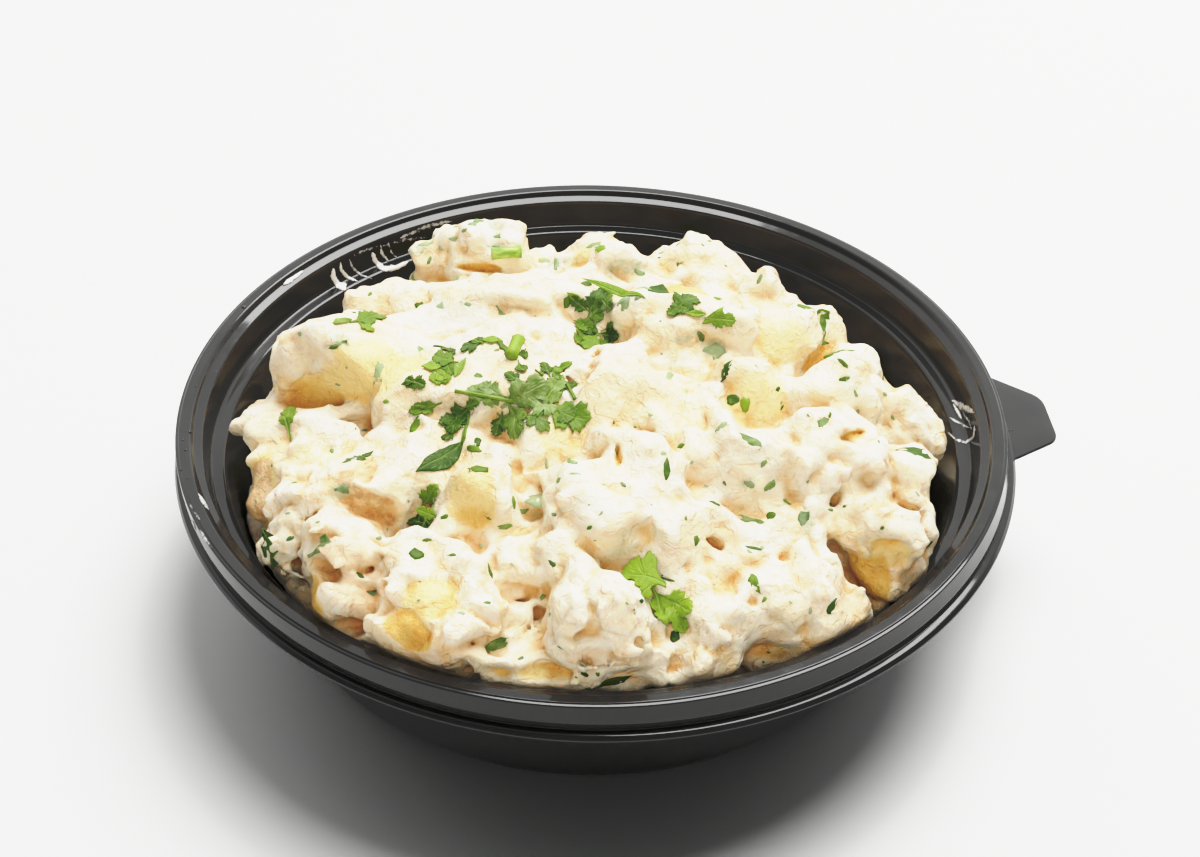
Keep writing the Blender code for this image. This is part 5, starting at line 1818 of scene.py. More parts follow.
SPRIGS: dict[str, tuple[Leaflet, ...]] = {
    name: tuple(Leaflet(*row) for row in rows)
    for name, rows in {
        "parsley_front": (
            ((664, 598), (617, 586), 24, 0.95), ((652, 592), (632, 612), 16, 0.9),
            ((652, 590), (665, 629), 20, 0.85), ((659, 595), (693, 612), 27, 0.9),
            ((666, 598), (685, 634), 19, 0.8),
        ),
        "parsley_centre": (
            ((514, 399), (464, 391), 22, 0.5, 0.5), ((514, 402), (455, 391), 3.5, 0.6, 0.3, Cut.STALK),
            ((502, 408), (548, 379), 30, 0.45, 0.5), ((540, 404), (562, 377), 22, 0.5, 0.45),
            ((562, 392), (576, 383), 10, 0.15), ((541, 407), (591, 421), 26, 0.5, 0.25),
            ((506, 398), (519, 440), 26, 0.45, 0.4), ((503, 412), (496, 437), 14, 0.2, 0.15),
            ((522, 420), (550, 433), 18, 0.35, 0.4), ((522, 386), (506, 374), 12, 0.2, 0.1),
            ((568, 386), (578, 404), 3.5, 0.5, 0.1, Cut.STALK), ((528, 400), (556, 412), 22, 0.5, 0.55),
            ((500, 396), (480, 384), 18, 0.45, 0.5), ((520, 404), (530, 384), 24, 0.55, 0.5),
            ((498, 414), (510, 428), 20, 0.4, 0.4), ((556, 410), (574, 420), 20, 0.35, 0.2),
        ),
        "parsley_centre_small": (
            ((544, 373), (572, 363), 11, 0.55), ((550, 378), (543, 362), 11, 0.3),
            ((545, 372), (534, 376), 8, 0.5, 0.1), ((552, 372), (560, 382), 8, 0.4, 0.3),
        ),
        "parsley_left_upper": (
            ((449, 353), (429, 342), 13, 0.35), ((454, 360), (441, 340), 13, 0.12),
            ((458, 364), (432, 359), 14, 0.45), ((442, 368), (421, 369), 9, 0.8, 0.0, Cut.BLADE),
            ((456, 372), (429, 381), 14, 0.65, 0.1), ((455, 378), (467, 359), 9, 0.7, 0.35, Cut.BLADE),
            ((410, 380), (426, 387), 14, 0.3), ((416, 384), (406, 380), 10, 0.25),
            ((446, 362), (452, 376), 13, 0.4), ((436, 374), (447, 380), 9, 0.85, 0.0, Cut.BLADE),
            ((440, 352), (452, 346), 10, 0.2),
        ),
        "parsley_stemmed": (
            ((509, 361), (521, 334), 12, 0.95, 0.0, Cut.STALK), ((486, 341), (461, 351), 15, 0.25),
            ((484, 345), (470, 336), 12, 0.3), ((482, 343), (503, 340), 8, 0.85, 0.0, Cut.BLADE),
            ((508, 356), (499, 333), 13, 0.3), ((514, 352), (508, 373), 16, 0.55),
            ((516, 354), (528, 358), 9, 0.3), ((518, 362), (524, 374), 11, 0.4),
        ),
        "parsley_left_blade": (
            ((442, 403), (408, 413), 13, 0.5, 0.1), ((430, 406), (414, 404), 7, 0.5),
        ),
        "parsley_left_lower": (
            ((474, 405), (438, 424), 19, 0.25), ((458, 412), (453, 436), 20, 0.2),
            ((464, 408), (481, 401), 10, 0.35), ((469, 413), (464, 440), 2.6, 0.5, 0.0, Cut.STALK),
            ((453, 432), (446, 441), 8, 0.25),
        ),
        "parsley_dark_blade": (
            ((464, 441), (417, 477), 20, 0.02, 0.0, Cut.BLADE),
            ((462, 444), (469, 414), 2.4, 0.4, 0.0, Cut.STALK),
        ),
        "parsley_bow": (
            ((421, 508), (439, 484), 15, 0.6), ((421, 506), (404, 501), 11, 0.65),
            ((421, 508), (418, 538), 16, 0.15), ((422, 509), (432, 537), 12, 0.12),
            ((423, 510), (440, 522), 12, 0.15), ((420, 510), (408, 524), 11, 0.2),
        ),
        "parsley_left_far": (
            ((350, 323), (386, 317), 15, 0.5), ((358, 323), (374, 333), 8, 0.7),
            ((352, 321), (331, 328), 7, 0.6, 0.4, Cut.BLADE),
        ),
        "parsley_left_edge": (
            ((291, 442), (290, 404), 17, 0.6),
        ),
        "parsley_back_blade": (
            ((646, 299), (581, 272), 9, 0.75, 0.0, Cut.BLADE),
        ),
        "parsley_back_upper": (
            ((591, 313), (569, 297), 13, 0.25), ((588, 318), (601, 290), 16, 0.15),
            ((590, 320), (613, 294), 12, 0.3), ((590, 316), (579, 331), 18, 0.4, 0.1),
            ((584, 304), (566, 292), 7, 0.85, 0.0, Cut.BLADE), ((590, 312), (604, 320), 14, 0.3),
            ((598, 322), (584, 334), 16, 0.25), ((602, 300), (614, 312), 14, 0.3, 0.45),
            ((592, 302), (606, 288), 13, 0.15),
        ),
        "parsley_back_lower": (
            ((597, 331), (576, 344), 22, 0.5, 0.15), ((597, 333), (620, 337), 15, 0.06),
            ((599, 335), (586, 357), 17, 0.55), ((600, 337), (604, 354), 13, 0.5),
            ((602, 331), (615, 323), 9, 0.3),
        ),
        "parsley_right_upper": (
            ((670, 312), (698, 298), 24, 0.3, 0.1), ((672, 304), (692, 312), 18, 0.3),
            ((684, 304), (668, 317), 12, 0.3, 0.2),
        ),
        "parsley_right_wing": (
            ((702, 324), (724, 307), 8, 0.8, 0.0, Cut.BLADE), ((704, 318), (737, 321), 17, 0.6),
            ((706, 315), (684, 314), 7, 0.75, 0.0, Cut.BLADE),
        ),
    }.items()
}


@dataclass
class Growth:
    """Points and faces of a piece as it grows, with the masks that its finish reads."""

    verts: list[Vector] = field(default_factory=list)
    faces: list[tuple[int, ...]] = field(default_factory=list)
    masks: dict[str, list[float]] = field(default_factory=dict)

    def add(
        self, verts: Sequence[Vector], faces: Sequence[tuple[int, ...]], masks: dict[str, Sequence[float]]
    ) -> None:
        """Add a part.

        Args:
            verts: Its points.
            faces: Its faces, by its own point numbers.
            masks: A number for each point under each mask's name.
        """
        first = len(self.verts)
        self.verts += verts
        self.faces += [tuple(first + number for number in face) for face in faces]
        for name, values in masks.items():
            self.masks.setdefault(name, []).extend(values)

    def build(self, name: str, material: bpy.types.Material) -> bpy.types.Object:
        """Return the finished piece."""
        piece = mesh_object(name, np.array(self.verts), self.faces, material)
        for mask, values in self.masks.items():
            hold(piece, mask, np.array(values))
        return piece


@dataclass
class Parsley:
    """The loose parsley: toothed, veined leaflets and cut stalks, laid over the salad."""

    camera: PictureCamera
    ground: Ground
    rings: int = 6
    thickness: float = 0.26 * MM
    steepness: float = 0.7
    spread: float = 1.2

    def fan(self, rng: random.Random) -> list[Pair]:
        """Return a toothed leaflet's edge: places along its length and across it, as shares."""
        half = (
            (0.0, 0.035), (0.16, 0.05), (0.27, 0.15), (0.3, 0.33), (0.36, 0.36), (0.4, 0.47),
            (0.46, 0.42), (0.53, 0.5), (0.58, 0.4), (0.6, 0.26), (0.68, 0.3), (0.72, 0.4),
            (0.78, 0.31), (0.86, 0.33), (0.88, 0.2), (0.94, 0.16), (0.95, 0.07),
        )
        upper = [(a + rng.uniform(-0.02, 0.02), b * rng.uniform(0.82, 1.12)) for a, b in half]
        lower = [(a + rng.uniform(-0.02, 0.02), -b * rng.uniform(0.82, 1.12)) for a, b in half]
        return upper + [(1.0, rng.uniform(-0.05, 0.05))] + lower[::-1]

    def blade(self, rng: random.Random) -> list[Pair]:
        """Return a narrow leaf strip's edge: places along its length and across it, as shares."""
        bow = rng.uniform(-0.3, 0.3)
        rows = []
        for step in range(13):
            share = step / 12
            half = 0.52 * math.sin(math.pi * share**0.9) ** 1.15
            rows.append((share, half, bow * math.sin(math.pi * share)))
        upper = [(a, bend + b * rng.uniform(0.9, 1.05)) for a, b, bend in rows]
        lower = [(a, bend - b * rng.uniform(0.9, 1.05)) for a, b, bend in rows[1:-1]]
        return upper + lower[::-1]

    def frame(self, leaflet: Leaflet) -> tuple[Vector, Vector, Vector, Vector] | None:
        """Return where a leaflet lies: its foot, its length, its width and the normal there."""
        start = Vector(self.camera.place)
        rays = (Vector(self.camera.ray(*pixel)) for pixel in (leaflet.foot, leaflet.tip))
        ends = [self.ground.cast(start, ray) for ray in rays]
        if None in ends:
            return None
        (foot, _), (tip, _) = ends
        if abs((tip - foot).dot(Vector(self.camera.ahead))) > 5 * MM:
            level = self.ground.mean_normal(foot, 4 * MM)
            ray = Vector(self.camera.ray(*leaflet.tip))
            tip = start + ray * ((foot - start).dot(level) / ray.dot(level))
        middle = (foot + tip) / 2
        normal = self.ground.mean_normal(middle, (tip - foot).length * 0.5)
        along = tip - foot
        normal = (normal - along.normalized() * normal.dot(along.normalized())).normalized()
        across = normal.cross(along).normalized()
        ahead = Vector(self.camera.ahead)
        shown = max(0.5, (across - ahead * across.dot(ahead)).length)
        scale = self.camera.focal / self.camera.depth(np.array(middle))
        spread = self.spread if leaflet.cut is Cut.FAN else 1.0
        return foot, along, across * (leaflet.width * spread / scale / shown), normal

    def drape(self, places: list[Vector], normal: Vector, gap: float) -> list[Vector]:
        """Lift places of a flat leaf so that it lies on the ground without steep folds.

        Args:
            places: Points of the flat leaf.
            normal: Its normal.
            gap: The clearance to the ground.

        Returns:
            The lifted points.
        """
        reach = 7 * MM
        flat = np.array(places)
        rise = []
        for place in places:
            hit = self.ground.cast(place + normal * reach, -normal)
            rise.append(reach - (hit[0] - place - normal * reach).length if hit else -reach)
        heights = np.maximum(np.array(rise), -2.5 * MM)
        between = np.linalg.norm(flat[:, None] - flat[None], axis=2)
        lifted = (heights[None] - self.steepness * between).max(axis=1) + gap
        return [place + normal * float(height) for place, height in zip(places, lifted)]

    def add_leaflet(self, growth: Growth, leaflet: Leaflet, layer: int, rng: random.Random) -> None:
        """Add one leaflet to a piece.

        Args:
            growth: The piece.
            leaflet: Its row.
            layer: How many leaflets lie below it.
            rng: The draw of its uneven edge.
        """
        framed = self.frame(leaflet)
        if framed is None:
            return
        foot, along, across, normal = framed
        edge = self.fan(rng) if leaflet.cut is Cut.FAN else self.blade(rng)
        fine = []
        for (a, b), (c, d) in zip(edge, edge[1:] + edge[:1]):
            fine += [(a, b), ((a + c) / 2, (b + d) / 2)]
        count = len(fine)
        hub = (0.46, 0.0)
        shares = [hub]
        for ring in range(1, self.rings + 1):
            far = (ring / self.rings) ** 0.9
            shares += [(hub[0] + (a - hub[0]) * far, hub[1] + (b - hub[1]) * far) for a, b in fine]
        places = [foot + along * a + across * b for a, b in shares]
        places = self.drape(places, normal, (0.34 + 0.09 * layer) * MM)
        length, width = along.length / MM, across.length / MM
        curl, fold, wave = rng.uniform(0.1, 0.55), rng.uniform(0.1, 0.4), rng.uniform(0, 6)
        veins = []
        for index, (a, b) in enumerate(shares):
            rise = curl * max(0.0, a - 0.4) ** 2 * 1.6 + fold * abs(b) * 1.2
            rise += 0.1 * math.sin(11 * a + wave) * abs(b) * 2
            places[index] = places[index] + normal * rise * MM
            middle = math.exp(-((b * width / 0.16) ** 2)) * (1.0 - 0.5 * a)
            side = math.sin(math.tau * (a * length / 1.5 - abs(b) * width * 0.62))
            veins.append(max(middle, 0.5 * max(0.0, side) ** 8))
        below = [place - normal * self.thickness for place in places]
        half, rim = len(places), 1 + (self.rings - 1) * count
        faces = flipped(fan(0, 1, count))
        faces += fan(half, half + 1, count)
        for ring in range(self.rings - 1):
            a, b = 1 + ring * count, 1 + (ring + 1) * count
            faces += band(a, b, count)
            faces += [face[::-1] for face in band(half + a, half + b, count)]
        faces += band(rim, half + rim, count)
        growth.add(
            places + below,
            faces,
            {
                "tone": [leaflet.tone + rng.uniform(-0.04, 0.04)] * (2 * half),
                "film": [leaflet.film] * (2 * half),
                "vein": veins * 2,
            },
        )

    def add_stalk(self, growth: Growth, leaflet: Leaflet) -> None:
        """Add a thin ribbed stalk to a piece.

        Args:
            growth: The piece.
            leaflet: Its row.
        """
        framed = self.frame(leaflet)
        if framed is None:
            return
        foot, along, across, normal = framed
        stations, sides = 9, 14
        wide = across.length / 2
        line = [foot + along * (step / (stations - 1)) for step in range(stations)]
        line = self.drape(line, normal, wide * 0.8 + 0.2 * MM)
        side_way = across.normalized()
        verts = []
        for step, spot in enumerate(line):
            flare = 1.0 + 0.15 * abs(2 * step / (stations - 1) - 1) ** 3
            for side in range(sides):
                angle = math.tau * side / sides
                rib = flare * (1.0 + 0.08 * math.cos(5 * angle))
                beside = side_way * wide * rib * math.cos(angle)
                verts.append(spot + beside + normal * wide * 0.7 * rib * math.sin(angle))
        faces: list[tuple[int, ...]] = []
        for step in range(stations - 1):
            faces += band(step * sides, (step + 1) * sides, sides)
        faces.append(tuple(reversed(range(sides))))
        faces.append(tuple((stations - 1) * sides + side for side in range(sides)))
        ribs = [0.5 + 0.5 * math.cos(5 * math.tau * side / sides) for side in range(sides)]
        growth.add(
            verts,
            faces,
            {
                "tone": [leaflet.tone] * len(verts),
                "film": [leaflet.film] * len(verts),
                "vein": [0.6 * rib for rib in ribs] * stations,
            },
        )

    def build_sprig(self, node: str, material: bpy.types.Material) -> bpy.types.Object:
        """Build one piece of parsley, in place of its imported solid."""
        rng = random.Random(node)
        growth = Growth()
        for layer, leaflet in enumerate(SPRIGS[node]):
            if leaflet.cut is Cut.STALK:
                self.add_stalk(growth, leaflet)
            else:
                self.add_leaflet(growth, leaflet, layer % 4, rng)
        sprig = growth.build(f"{node}_leaf", material)
        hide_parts(node)
        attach(sprig, "root")
        return sprig

    def build_cut_stalk(self, material: bpy.types.Material) -> bpy.types.Object:
        """Build the short cut stalk that lies by itself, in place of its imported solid."""
        growth = Growth()
        self.add_stalk(growth, Leaflet((491, 254), (520, 252), 11, 0.95, 0.0, Cut.STALK))
        stalk = growth.build("parsley_cut_stalk", material)
        stalk.data.set_sharp_from_angle(angle=math.radians(50))
        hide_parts("parsley_stem")
        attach(stalk, "root")
        return stalk

    def build(self) -> list[bpy.types.Object]:
        """Build every loose parsley piece."""
        leaf_finish = LeafFinish().build()
        pieces = [self.build_sprig(node, leaf_finish) for node in SPRIGS]
        pieces.append(self.build_cut_stalk(StalkFinish().build()))
        return pieces


@dataclass(frozen=True)
class Fleck:
    """A small herb flake in the picture: middle, length and width in pixels, turn, tone and film."""

    u: float
    v: float
    length: float
    width: float
    turn: float = 0.0
    tone: float = 0.4
    film: float = 0.3


FLECKS = tuple(
    Fleck(*row)
    for row in (
        (412, 383, 18, 8, 10, 0.4, 0.1), (415, 427, 18, 7, 65, 0.5, 0.1), (446, 437, 10, 6, 40, 0.3, 0.1),
        (478, 441, 12, 4, 75, 0.2, 0.1), (474, 449, 16, 6, -20, 0.5, 0.1),
        (478, 469, 20, 7, -5, 0.4, 0.15), (478, 376, 8, 6, 20, 0.4, 0.4), (566, 366, 14, 6, 0, 0.4, 0.1),
        (659, 292, 18, 16, 8, 0.15, 0.1), (718, 298, 18, 5, 55, 0.6, 0.2),
        (725, 371, 20, 7, 60, 0.15, 0.1), (733, 400, 14, 10, 0, 0.3, 0.1),
        (745, 405, 14, 9, 80, 0.95, 0.0), (750, 441, 26, 10, -28, 0.4, 0.5),
        (805, 307, 24, 5, -12, 0.5, 0.1), (825, 314, 16, 8, -25, 0.5, 0.3),
        (824, 330, 26, 6, 75, 0.4, 0.3), (838, 352, 34, 4, 40, 0.45, 0.1),
        (842, 362, 18, 4, -45, 0.35, 0.3), (844, 379, 10, 5, 20, 0.3, 0.3),
        (883, 376, 16, 7, -60, 0.35, 0.2), (916, 454, 34, 15, -12, 0.18, 0.15),
        (948, 466, 20, 7, 70, 0.35, 0.4), (753, 581, 24, 7, -60, 0.5, 0.3),
        (832, 606, 18, 7, 60, 0.1, 0.2), (607, 683, 44, 7, 0, 0.08, 0.2),
        (584, 674, 12, 4, -30, 0.1, 0.2), (266, 548, 32, 11, -75, 0.2, 0.3),
        (318, 546, 26, 9, 30, 0.3, 0.5), (342, 490, 16, 9, 5, 0.15, 0.6),
        (496, 645, 26, 9, 25, 0.35, 0.4), (490, 571, 16, 5, 60, 0.25, 0.3),
        (504, 527, 14, 6, 0, 0.5, 0.4), (514, 502, 12, 5, 80, 0.6, 0.3), (522, 512, 14, 4, 20, 0.5, 0.5),
        (541, 500, 36, 12, -30, 0.45, 0.85), (416, 553, 14, 9, 10, 0.3, 0.1),
        (427, 540, 8, 4, 10, 0.4, 0.2), (452, 555, 8, 3, 0, 0.4, 0.3), (444, 517, 8, 4, 20, 0.4, 0.3),
        (667, 470, 22, 6, 75, 0.25, 0.3), (670, 378, 18, 6, 80, 0.4, 0.8),
        (700, 336, 12, 6, -40, 0.2, 0.5), (714, 352, 20, 16, 20, 0.35, 0.75),
        (721, 428, 16, 10, 40, 0.35, 0.6), (681, 446, 10, 4, -10, 0.4, 0.3),
        (619, 303, 18, 14, 0, 0.25, 0.65), (764, 464, 10, 5, 60, 0.4, 0.5),
        (770, 487, 14, 8, 40, 0.4, 0.5), (748, 485, 10, 8, 0, 0.3, 0.7), (771, 516, 10, 6, 0, 0.35, 0.2),
        (751, 521, 28, 6, -45, 0.3, 0.5), (804, 520, 18, 10, 70, 0.15, 0.55),
        (786, 502, 10, 3, 0, 0.4, 0.4), (714, 503, 10, 3, -20, 0.3, 0.3), (823, 423, 14, 8, 60, 0.4, 0.5),
        (752, 548, 18, 3, -4, 0.2, 0.4), (697, 541, 12, 5, 50, 0.35, 0.4),
        (358, 458, 22, 5, 20, 0.2, 0.4), (367, 455, 12, 4, 50, 0.15, 0.2),
        (338, 345, 26, 5, 12, 0.4, 0.7), (333, 348, 10, 3, 5, 0.4, 0.3), (379, 374, 24, 8, 80, 0.3, 0.75),
        (500, 312, 14, 4, -60, 0.3, 0.6), (440, 307, 10, 8, 0, 0.25, 0.8), (467, 305, 8, 5, 0, 0.3, 0.7),
        (420, 350, 16, 6, -70, 0.5, 0.6), (452, 240, 10, 6, 0, 0.3, 0.8), (464, 231, 8, 4, 0, 0.5, 0.5),
        (497, 237, 8, 5, 0, 0.5, 0.5), (600, 249, 12, 8, 0, 0.7, 0.3), (592, 246, 16, 6, 10, 0.5, 0.6),
        (639, 274, 10, 8, 0, 0.4, 0.6), (640, 288, 18, 6, -45, 0.5, 0.7),
        (773, 266, 12, 6, -60, 0.5, 0.4), (760, 280, 14, 4, 80, 0.3, 0.6),
        (586, 284, 12, 6, -10, 0.2, 0.3), (568, 300, 14, 7, 60, 0.5, 0.2),
        (555, 262, 22, 5, -50, 0.3, 0.7), (545, 262, 16, 10, 0, 0.4, 0.8),
        (552, 564, 9, 5, -30, 0.2, 0.4), (589, 528, 6, 3, 30, 0.4, 0.2), (570, 462, 12, 6, 0, 0.5, 0.6),
        (574, 474, 12, 3, 10, 0.5, 0.7), (546, 463, 12, 4, -80, 0.5, 0.7),
        (666, 579, 14, 3, -15, 0.2, 0.4), (642, 601, 5, 3, -30, 0.1, 0.1),
        (675, 636, 10, 8, 70, 0.15, 0.0), (929, 545, 10, 3, 70, 0.2, 0.3), (372, 594, 12, 5, 0, 0.1, 0.6),
        (397, 655, 10, 3, -10, 0.2, 0.3), (487, 603, 8, 4, 0, 0.4, 0.5), (560, 648, 8, 3, 0, 0.3, 0.6),
        (588, 689, 6, 4, 0, 0.3, 0.3), (290, 539, 8, 4, 40, 0.2, 0.4), (360, 575, 8, 4, -50, 0.1, 0.3),
        (412, 275, 12, 5, -60, 0.3, 0.7), (425, 245, 16, 5, 40, 0.3, 0.8), (300, 335, 8, 5, 40, 0.2, 0.8),
        (778, 389, 6, 4, 60, 0.2, 0.2), (855, 393, 8, 3, -60, 0.3, 0.5), (830, 510, 6, 3, 0, 0.3, 0.5),
    )
)


@dataclass
class Flecks:
    """The small herb flakes caught in the dressing, and many tinier ones between them."""

    camera: PictureCamera
    ground: Ground
    stray_count: int = 130
    spread: float = 1.25
    far_count: int = 70
    thickness: float = 0.22 * MM
    reach: float = 88 * MM
    lowest: float = 30 * MM

    def flake(
        self,
        spot: Vector,
        normal: Vector,
        along: Vector,
        length: float,
        width: float,
        sunk: float,
        rng: random.Random,
    ) -> tuple[list[Vector], list[tuple[int, ...]]]:
        """Return a torn flake that follows the surface it is stuck to.

        Args:
            spot: Its middle.
            normal: The surface's normal there.
            along: The direction of its length.
            length: Its length.
            width: Its width.
            sunk: How far one of its sides dips under the dressing.
            rng: The draw of its torn edge.

        Returns:
            Its points and faces.
        """
        across = normal.cross(along).normalized()
        sides = 11
        rim = []
        for side in range(sides):
            angle = math.tau * side / sides
            tear = rng.uniform(0.68, 1.12)
            rim.append((math.cos(angle) * length / 2 * tear, math.sin(angle) * width / 2 * tear))
        upper: list[Vector] = []
        for share in (0.0, 0.5, 1.0):
            for a, b in rim if share else ((0.0, 0.0),):
                place = spot + along * a * share + across * b * share
                dip = sunk * MM * (0.4 * a * share / length + 0.5 * b * share / width - 0.05)
                hit = self.ground.cast(place + normal * 2 * MM, -normal)
                base = hit[0] if hit and (hit[0] - place).length < 2.5 * MM else place
                upper.append(base + normal * (0.14 * MM * (1.0 - 0.5 * share) + dip))
        lower = [point - normal * self.thickness for point in upper]
        rim = 1 + sides
        around = [*band(1, rim, sides), *band(rim, len(upper) + rim, sides)]
        return upper + lower, [*fan(0, 1, sides), *flipped(around)]

    def far_flecks(self, rng: random.Random) -> list[tuple[Fleck, tuple[Vector, Vector] | None]]:
        """Return flakes for the far side, which the picture doesn't show, with where each lies."""
        found = []
        for _ in range(self.far_count):
            angle, radius = rng.uniform(0.1, 0.9) * math.pi, rng.uniform(42, 84) * MM
            above = Vector((radius * math.cos(angle), radius * math.sin(angle), 0.2))
            size = rng.uniform(4.0, 12.0)
            film = rng.choice((0.1, 0.3, 0.5, 0.7))
            wide, turn, tone = size * rng.uniform(0.35, 0.7), rng.uniform(0, 180), rng.uniform(0.1, 0.6)
            hit = self.ground.cast(above, Vector((0.0, 0.0, -1.0)))
            found.append((Fleck(0, 0, size, wide, turn, tone, film), hit))
        return found

    def build(self) -> bpy.types.Object:
        """Build the listed flakes and the strays as one piece."""
        rng = random.Random(SEED)
        growth = Growth()
        start = Vector(self.camera.place)
        shown = list(FLECKS)
        for _ in range(self.stray_count):
            u, v, size = rng.uniform(235, 950), rng.uniform(215, 690), rng.uniform(2.0, 7.0)
            wide, turn = size * rng.uniform(0.4, 0.8), rng.uniform(0, 180)
            tone, film = rng.uniform(0.1, 0.6), rng.uniform(0.3, 0.95)
            shown.append(Fleck(u, v, size, wide, turn, tone, film))
        rays = [Vector(self.camera.ray(fleck.u, fleck.v)) for fleck in shown]
        placed = [(fleck, self.ground.cast(start, ray)) for fleck, ray in zip(shown, rays)]
        for fleck, hit in placed + self.far_flecks(rng):
            if hit is None or hit[0].xy.length > self.reach or hit[0].z < self.lowest:
                continue
            spot, normal = hit
            scale = self.camera.focal / self.camera.depth(np.array(spot))
            turn = math.radians(fleck.turn)
            way = Vector(self.camera.right) * math.cos(turn) + Vector(self.camera.up) * math.sin(turn)
            along = (way - normal * way.dot(normal)).normalized()
            foreshortened = max(0.45, abs(normal.dot(Vector(self.camera.ahead))))
            length = self.spread * fleck.length / scale
            width = self.spread * fleck.width / scale / foreshortened**0.5
            points, rows = self.flake(spot, normal, along, length, width, fleck.film, rng)
            masks = {"tone": fleck.tone, "film": fleck.film, "vein": 0.0}
            growth.add(points, rows, {name: [value] * len(points) for name, value in masks.items()})
        flecks = growth.build("herb_flecks", LeafFinish().build())
        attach(flecks, "root")
        return flecks


@dataclass(frozen=True)
class Stroke:
    """A smear of dressing: its pixels from end to end, its width in pixels and how thick it is."""

    path: tuple[Pair, ...]
    width: float
    body: float


STROKES = tuple(
    Stroke(*row)
    for row in (
        (((333, 268), (333, 277), (338, 285), (350, 289), (364, 287), (376, 283), (390, 278)), 9.0, 0.95),
        (((340, 262), (341, 270), (347, 277), (358, 282)), 4.5, 0.7),
        (((349, 259), (352, 267), (360, 275), (372, 279)), 3.5, 0.45),
        (((372, 252), (375, 261), (383, 269), (396, 268), (408, 262)), 8.0, 0.8),
        (((380, 244), (382, 254), (389, 262)), 4.0, 0.5),
        (((388, 242), (391, 252), (398, 259)), 3.0, 0.4),
        (((382, 246), (402, 240), (420, 238), (438, 236)), 4.5, 0.3),
        (((400, 238), (416, 231), (432, 225), (452, 221)), 5.5, 0.42),
        (((352, 256), (366, 250), (380, 246)), 4.0, 0.25),
        (((283, 285), (292, 279), (303, 271)), 6.0, 0.75),
        (((952, 401), (960, 405), (968, 409), (975, 413)), 9.0, 0.55),
        (((953, 404), (958, 412), (962, 420)), 4.0, 0.6),
        (((948, 432), (956, 440), (966, 443), (974, 437), (975, 426)), 4.0, 0.5),
        (((950, 418), (960, 424), (970, 428)), 4.0, 0.5),
        (((964, 414), (970, 422), (972, 430)), 3.0, 0.45),
        (((198, 494), (203, 502), (208, 510)), 4.5, 0.55),
        (((188, 500), (194, 512), (200, 520)), 3.0, 0.35),
        (((200, 530), (206, 540), (212, 548)), 4.0, 0.4), (((192, 520), (196, 530)), 3.0, 0.4),
    )
)


@dataclass
class Smears:
    """Thin smears of dressing on the bowl's wall and rim."""

    camera: PictureCamera
    plastic: Ground
    food: Ground
    height: float = 0.35 * MM

    def wall_hit(self, pixel: Vector) -> tuple[Vector, Vector] | None:
        """Return where a pixel shows the plastic, or None where food hides it."""
        start, way = Vector(self.camera.place), Vector(self.camera.ray(*pixel))
        wall, food = self.plastic.cast(start, way), self.food.cast(start, way)
        if wall is None or (food is not None and (food[0] - start).length < (wall[0] - start).length):
            return None
        return wall

    def build(self) -> bpy.types.Object:
        """Build every smear as one piece: flat ribbons with rounded, uneven edges."""
        growth = Growth()
        rng = random.Random(SEED + 5)
        for stroke in STROKES:
            path = [Vector(point) for point in stroke.path]
            fine = [a.lerp(b, step / 6) for a, b in zip(path, path[1:]) for step in range(6)] + [path[-1]]
            rows = []
            for index, pixel in enumerate(fine):
                near, far = fine[max(0, index - 1)], fine[min(len(fine) - 1, index + 1)]
                side = (far - near).orthogonal().normalized()
                taper = max(0.12, math.sin(math.pi * (index / (len(fine) - 1))) ** 0.4)
                wide = stroke.width * taper * rng.uniform(0.75, 1.2)
                row = []
                for step in range(7):
                    place = (step - 3) / 3
                    aim = pixel + side * place * wide / 2
                    hit = self.wall_hit(aim)
                    if hit is None:
                        row = []
                        break
                    crown = (1.0 - abs(place) ** 2.5) * stroke.body
                    row.append((hit[0] + hit[1] * (0.03 * MM + self.height * crown), crown))
                if row:
                    rows.append(row)
            for row, after in zip(rows, rows[1:]):
                if (row[3][0] - after[3][0]).length > 4 * MM:
                    continue
                points, crowns = zip(*row, *after)
                growth.add(points, [(a, a + 1, a + 8, a + 7) for a in range(6)], {"body": crowns})
        smears = growth.build("dressing_smears", SmearFinish().build())
        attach(smears, "root")
        return smears


BEADS = (
    (244, 307, 5.0), (190, 432, 4.0), (183, 440, 3.0), (186, 450, 3.5), (216, 372, 3.0),
    (196, 386, 2.5), (232, 330, 2.5), (1012, 430, 2.5), (181, 470, 3.0), (188, 478, 2.5),
)


@dataclass
class Beads:
    """Small beads of moisture on the rim."""

    camera: PictureCamera
    ground: Ground

    def build(self) -> bpy.types.Object:
        """Build every bead as one piece of flattened domes."""
        start = Vector(self.camera.place)
        growth = Growth()
        rings, sides = 4, 16
        for u, v, size in BEADS:
            hit = self.ground.cast(start, Vector(self.camera.ray(u, v)))
            if hit is None:
                continue
            spot, normal = hit
            radius = size / 2 * self.camera.depth(np.array(spot)) / self.camera.focal
            along = normal.orthogonal().normalized()
            across = normal.cross(along)
            verts = [spot + normal * radius * 0.45]
            for ring in range(1, rings + 1):
                angle = math.pi / 2 * ring / rings
                for side in range(sides):
                    turn = math.tau * side / sides
                    flat = (along * math.cos(turn) + across * math.sin(turn)) * radius * math.sin(angle)
                    verts.append(spot + flat + normal * radius * (0.47 * math.cos(angle) - 0.02))
            faces: list[tuple[int, ...]] = list(fan(0, 1, sides))
            for ring in range(rings - 1):
                faces += flipped(band(1 + ring * sides, 1 + (ring + 1) * sides, sides))
            growth.add(verts, faces, {})
        beads = growth.build("moisture_beads", DropFinish().build())
        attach(beads, "root")
        return beads


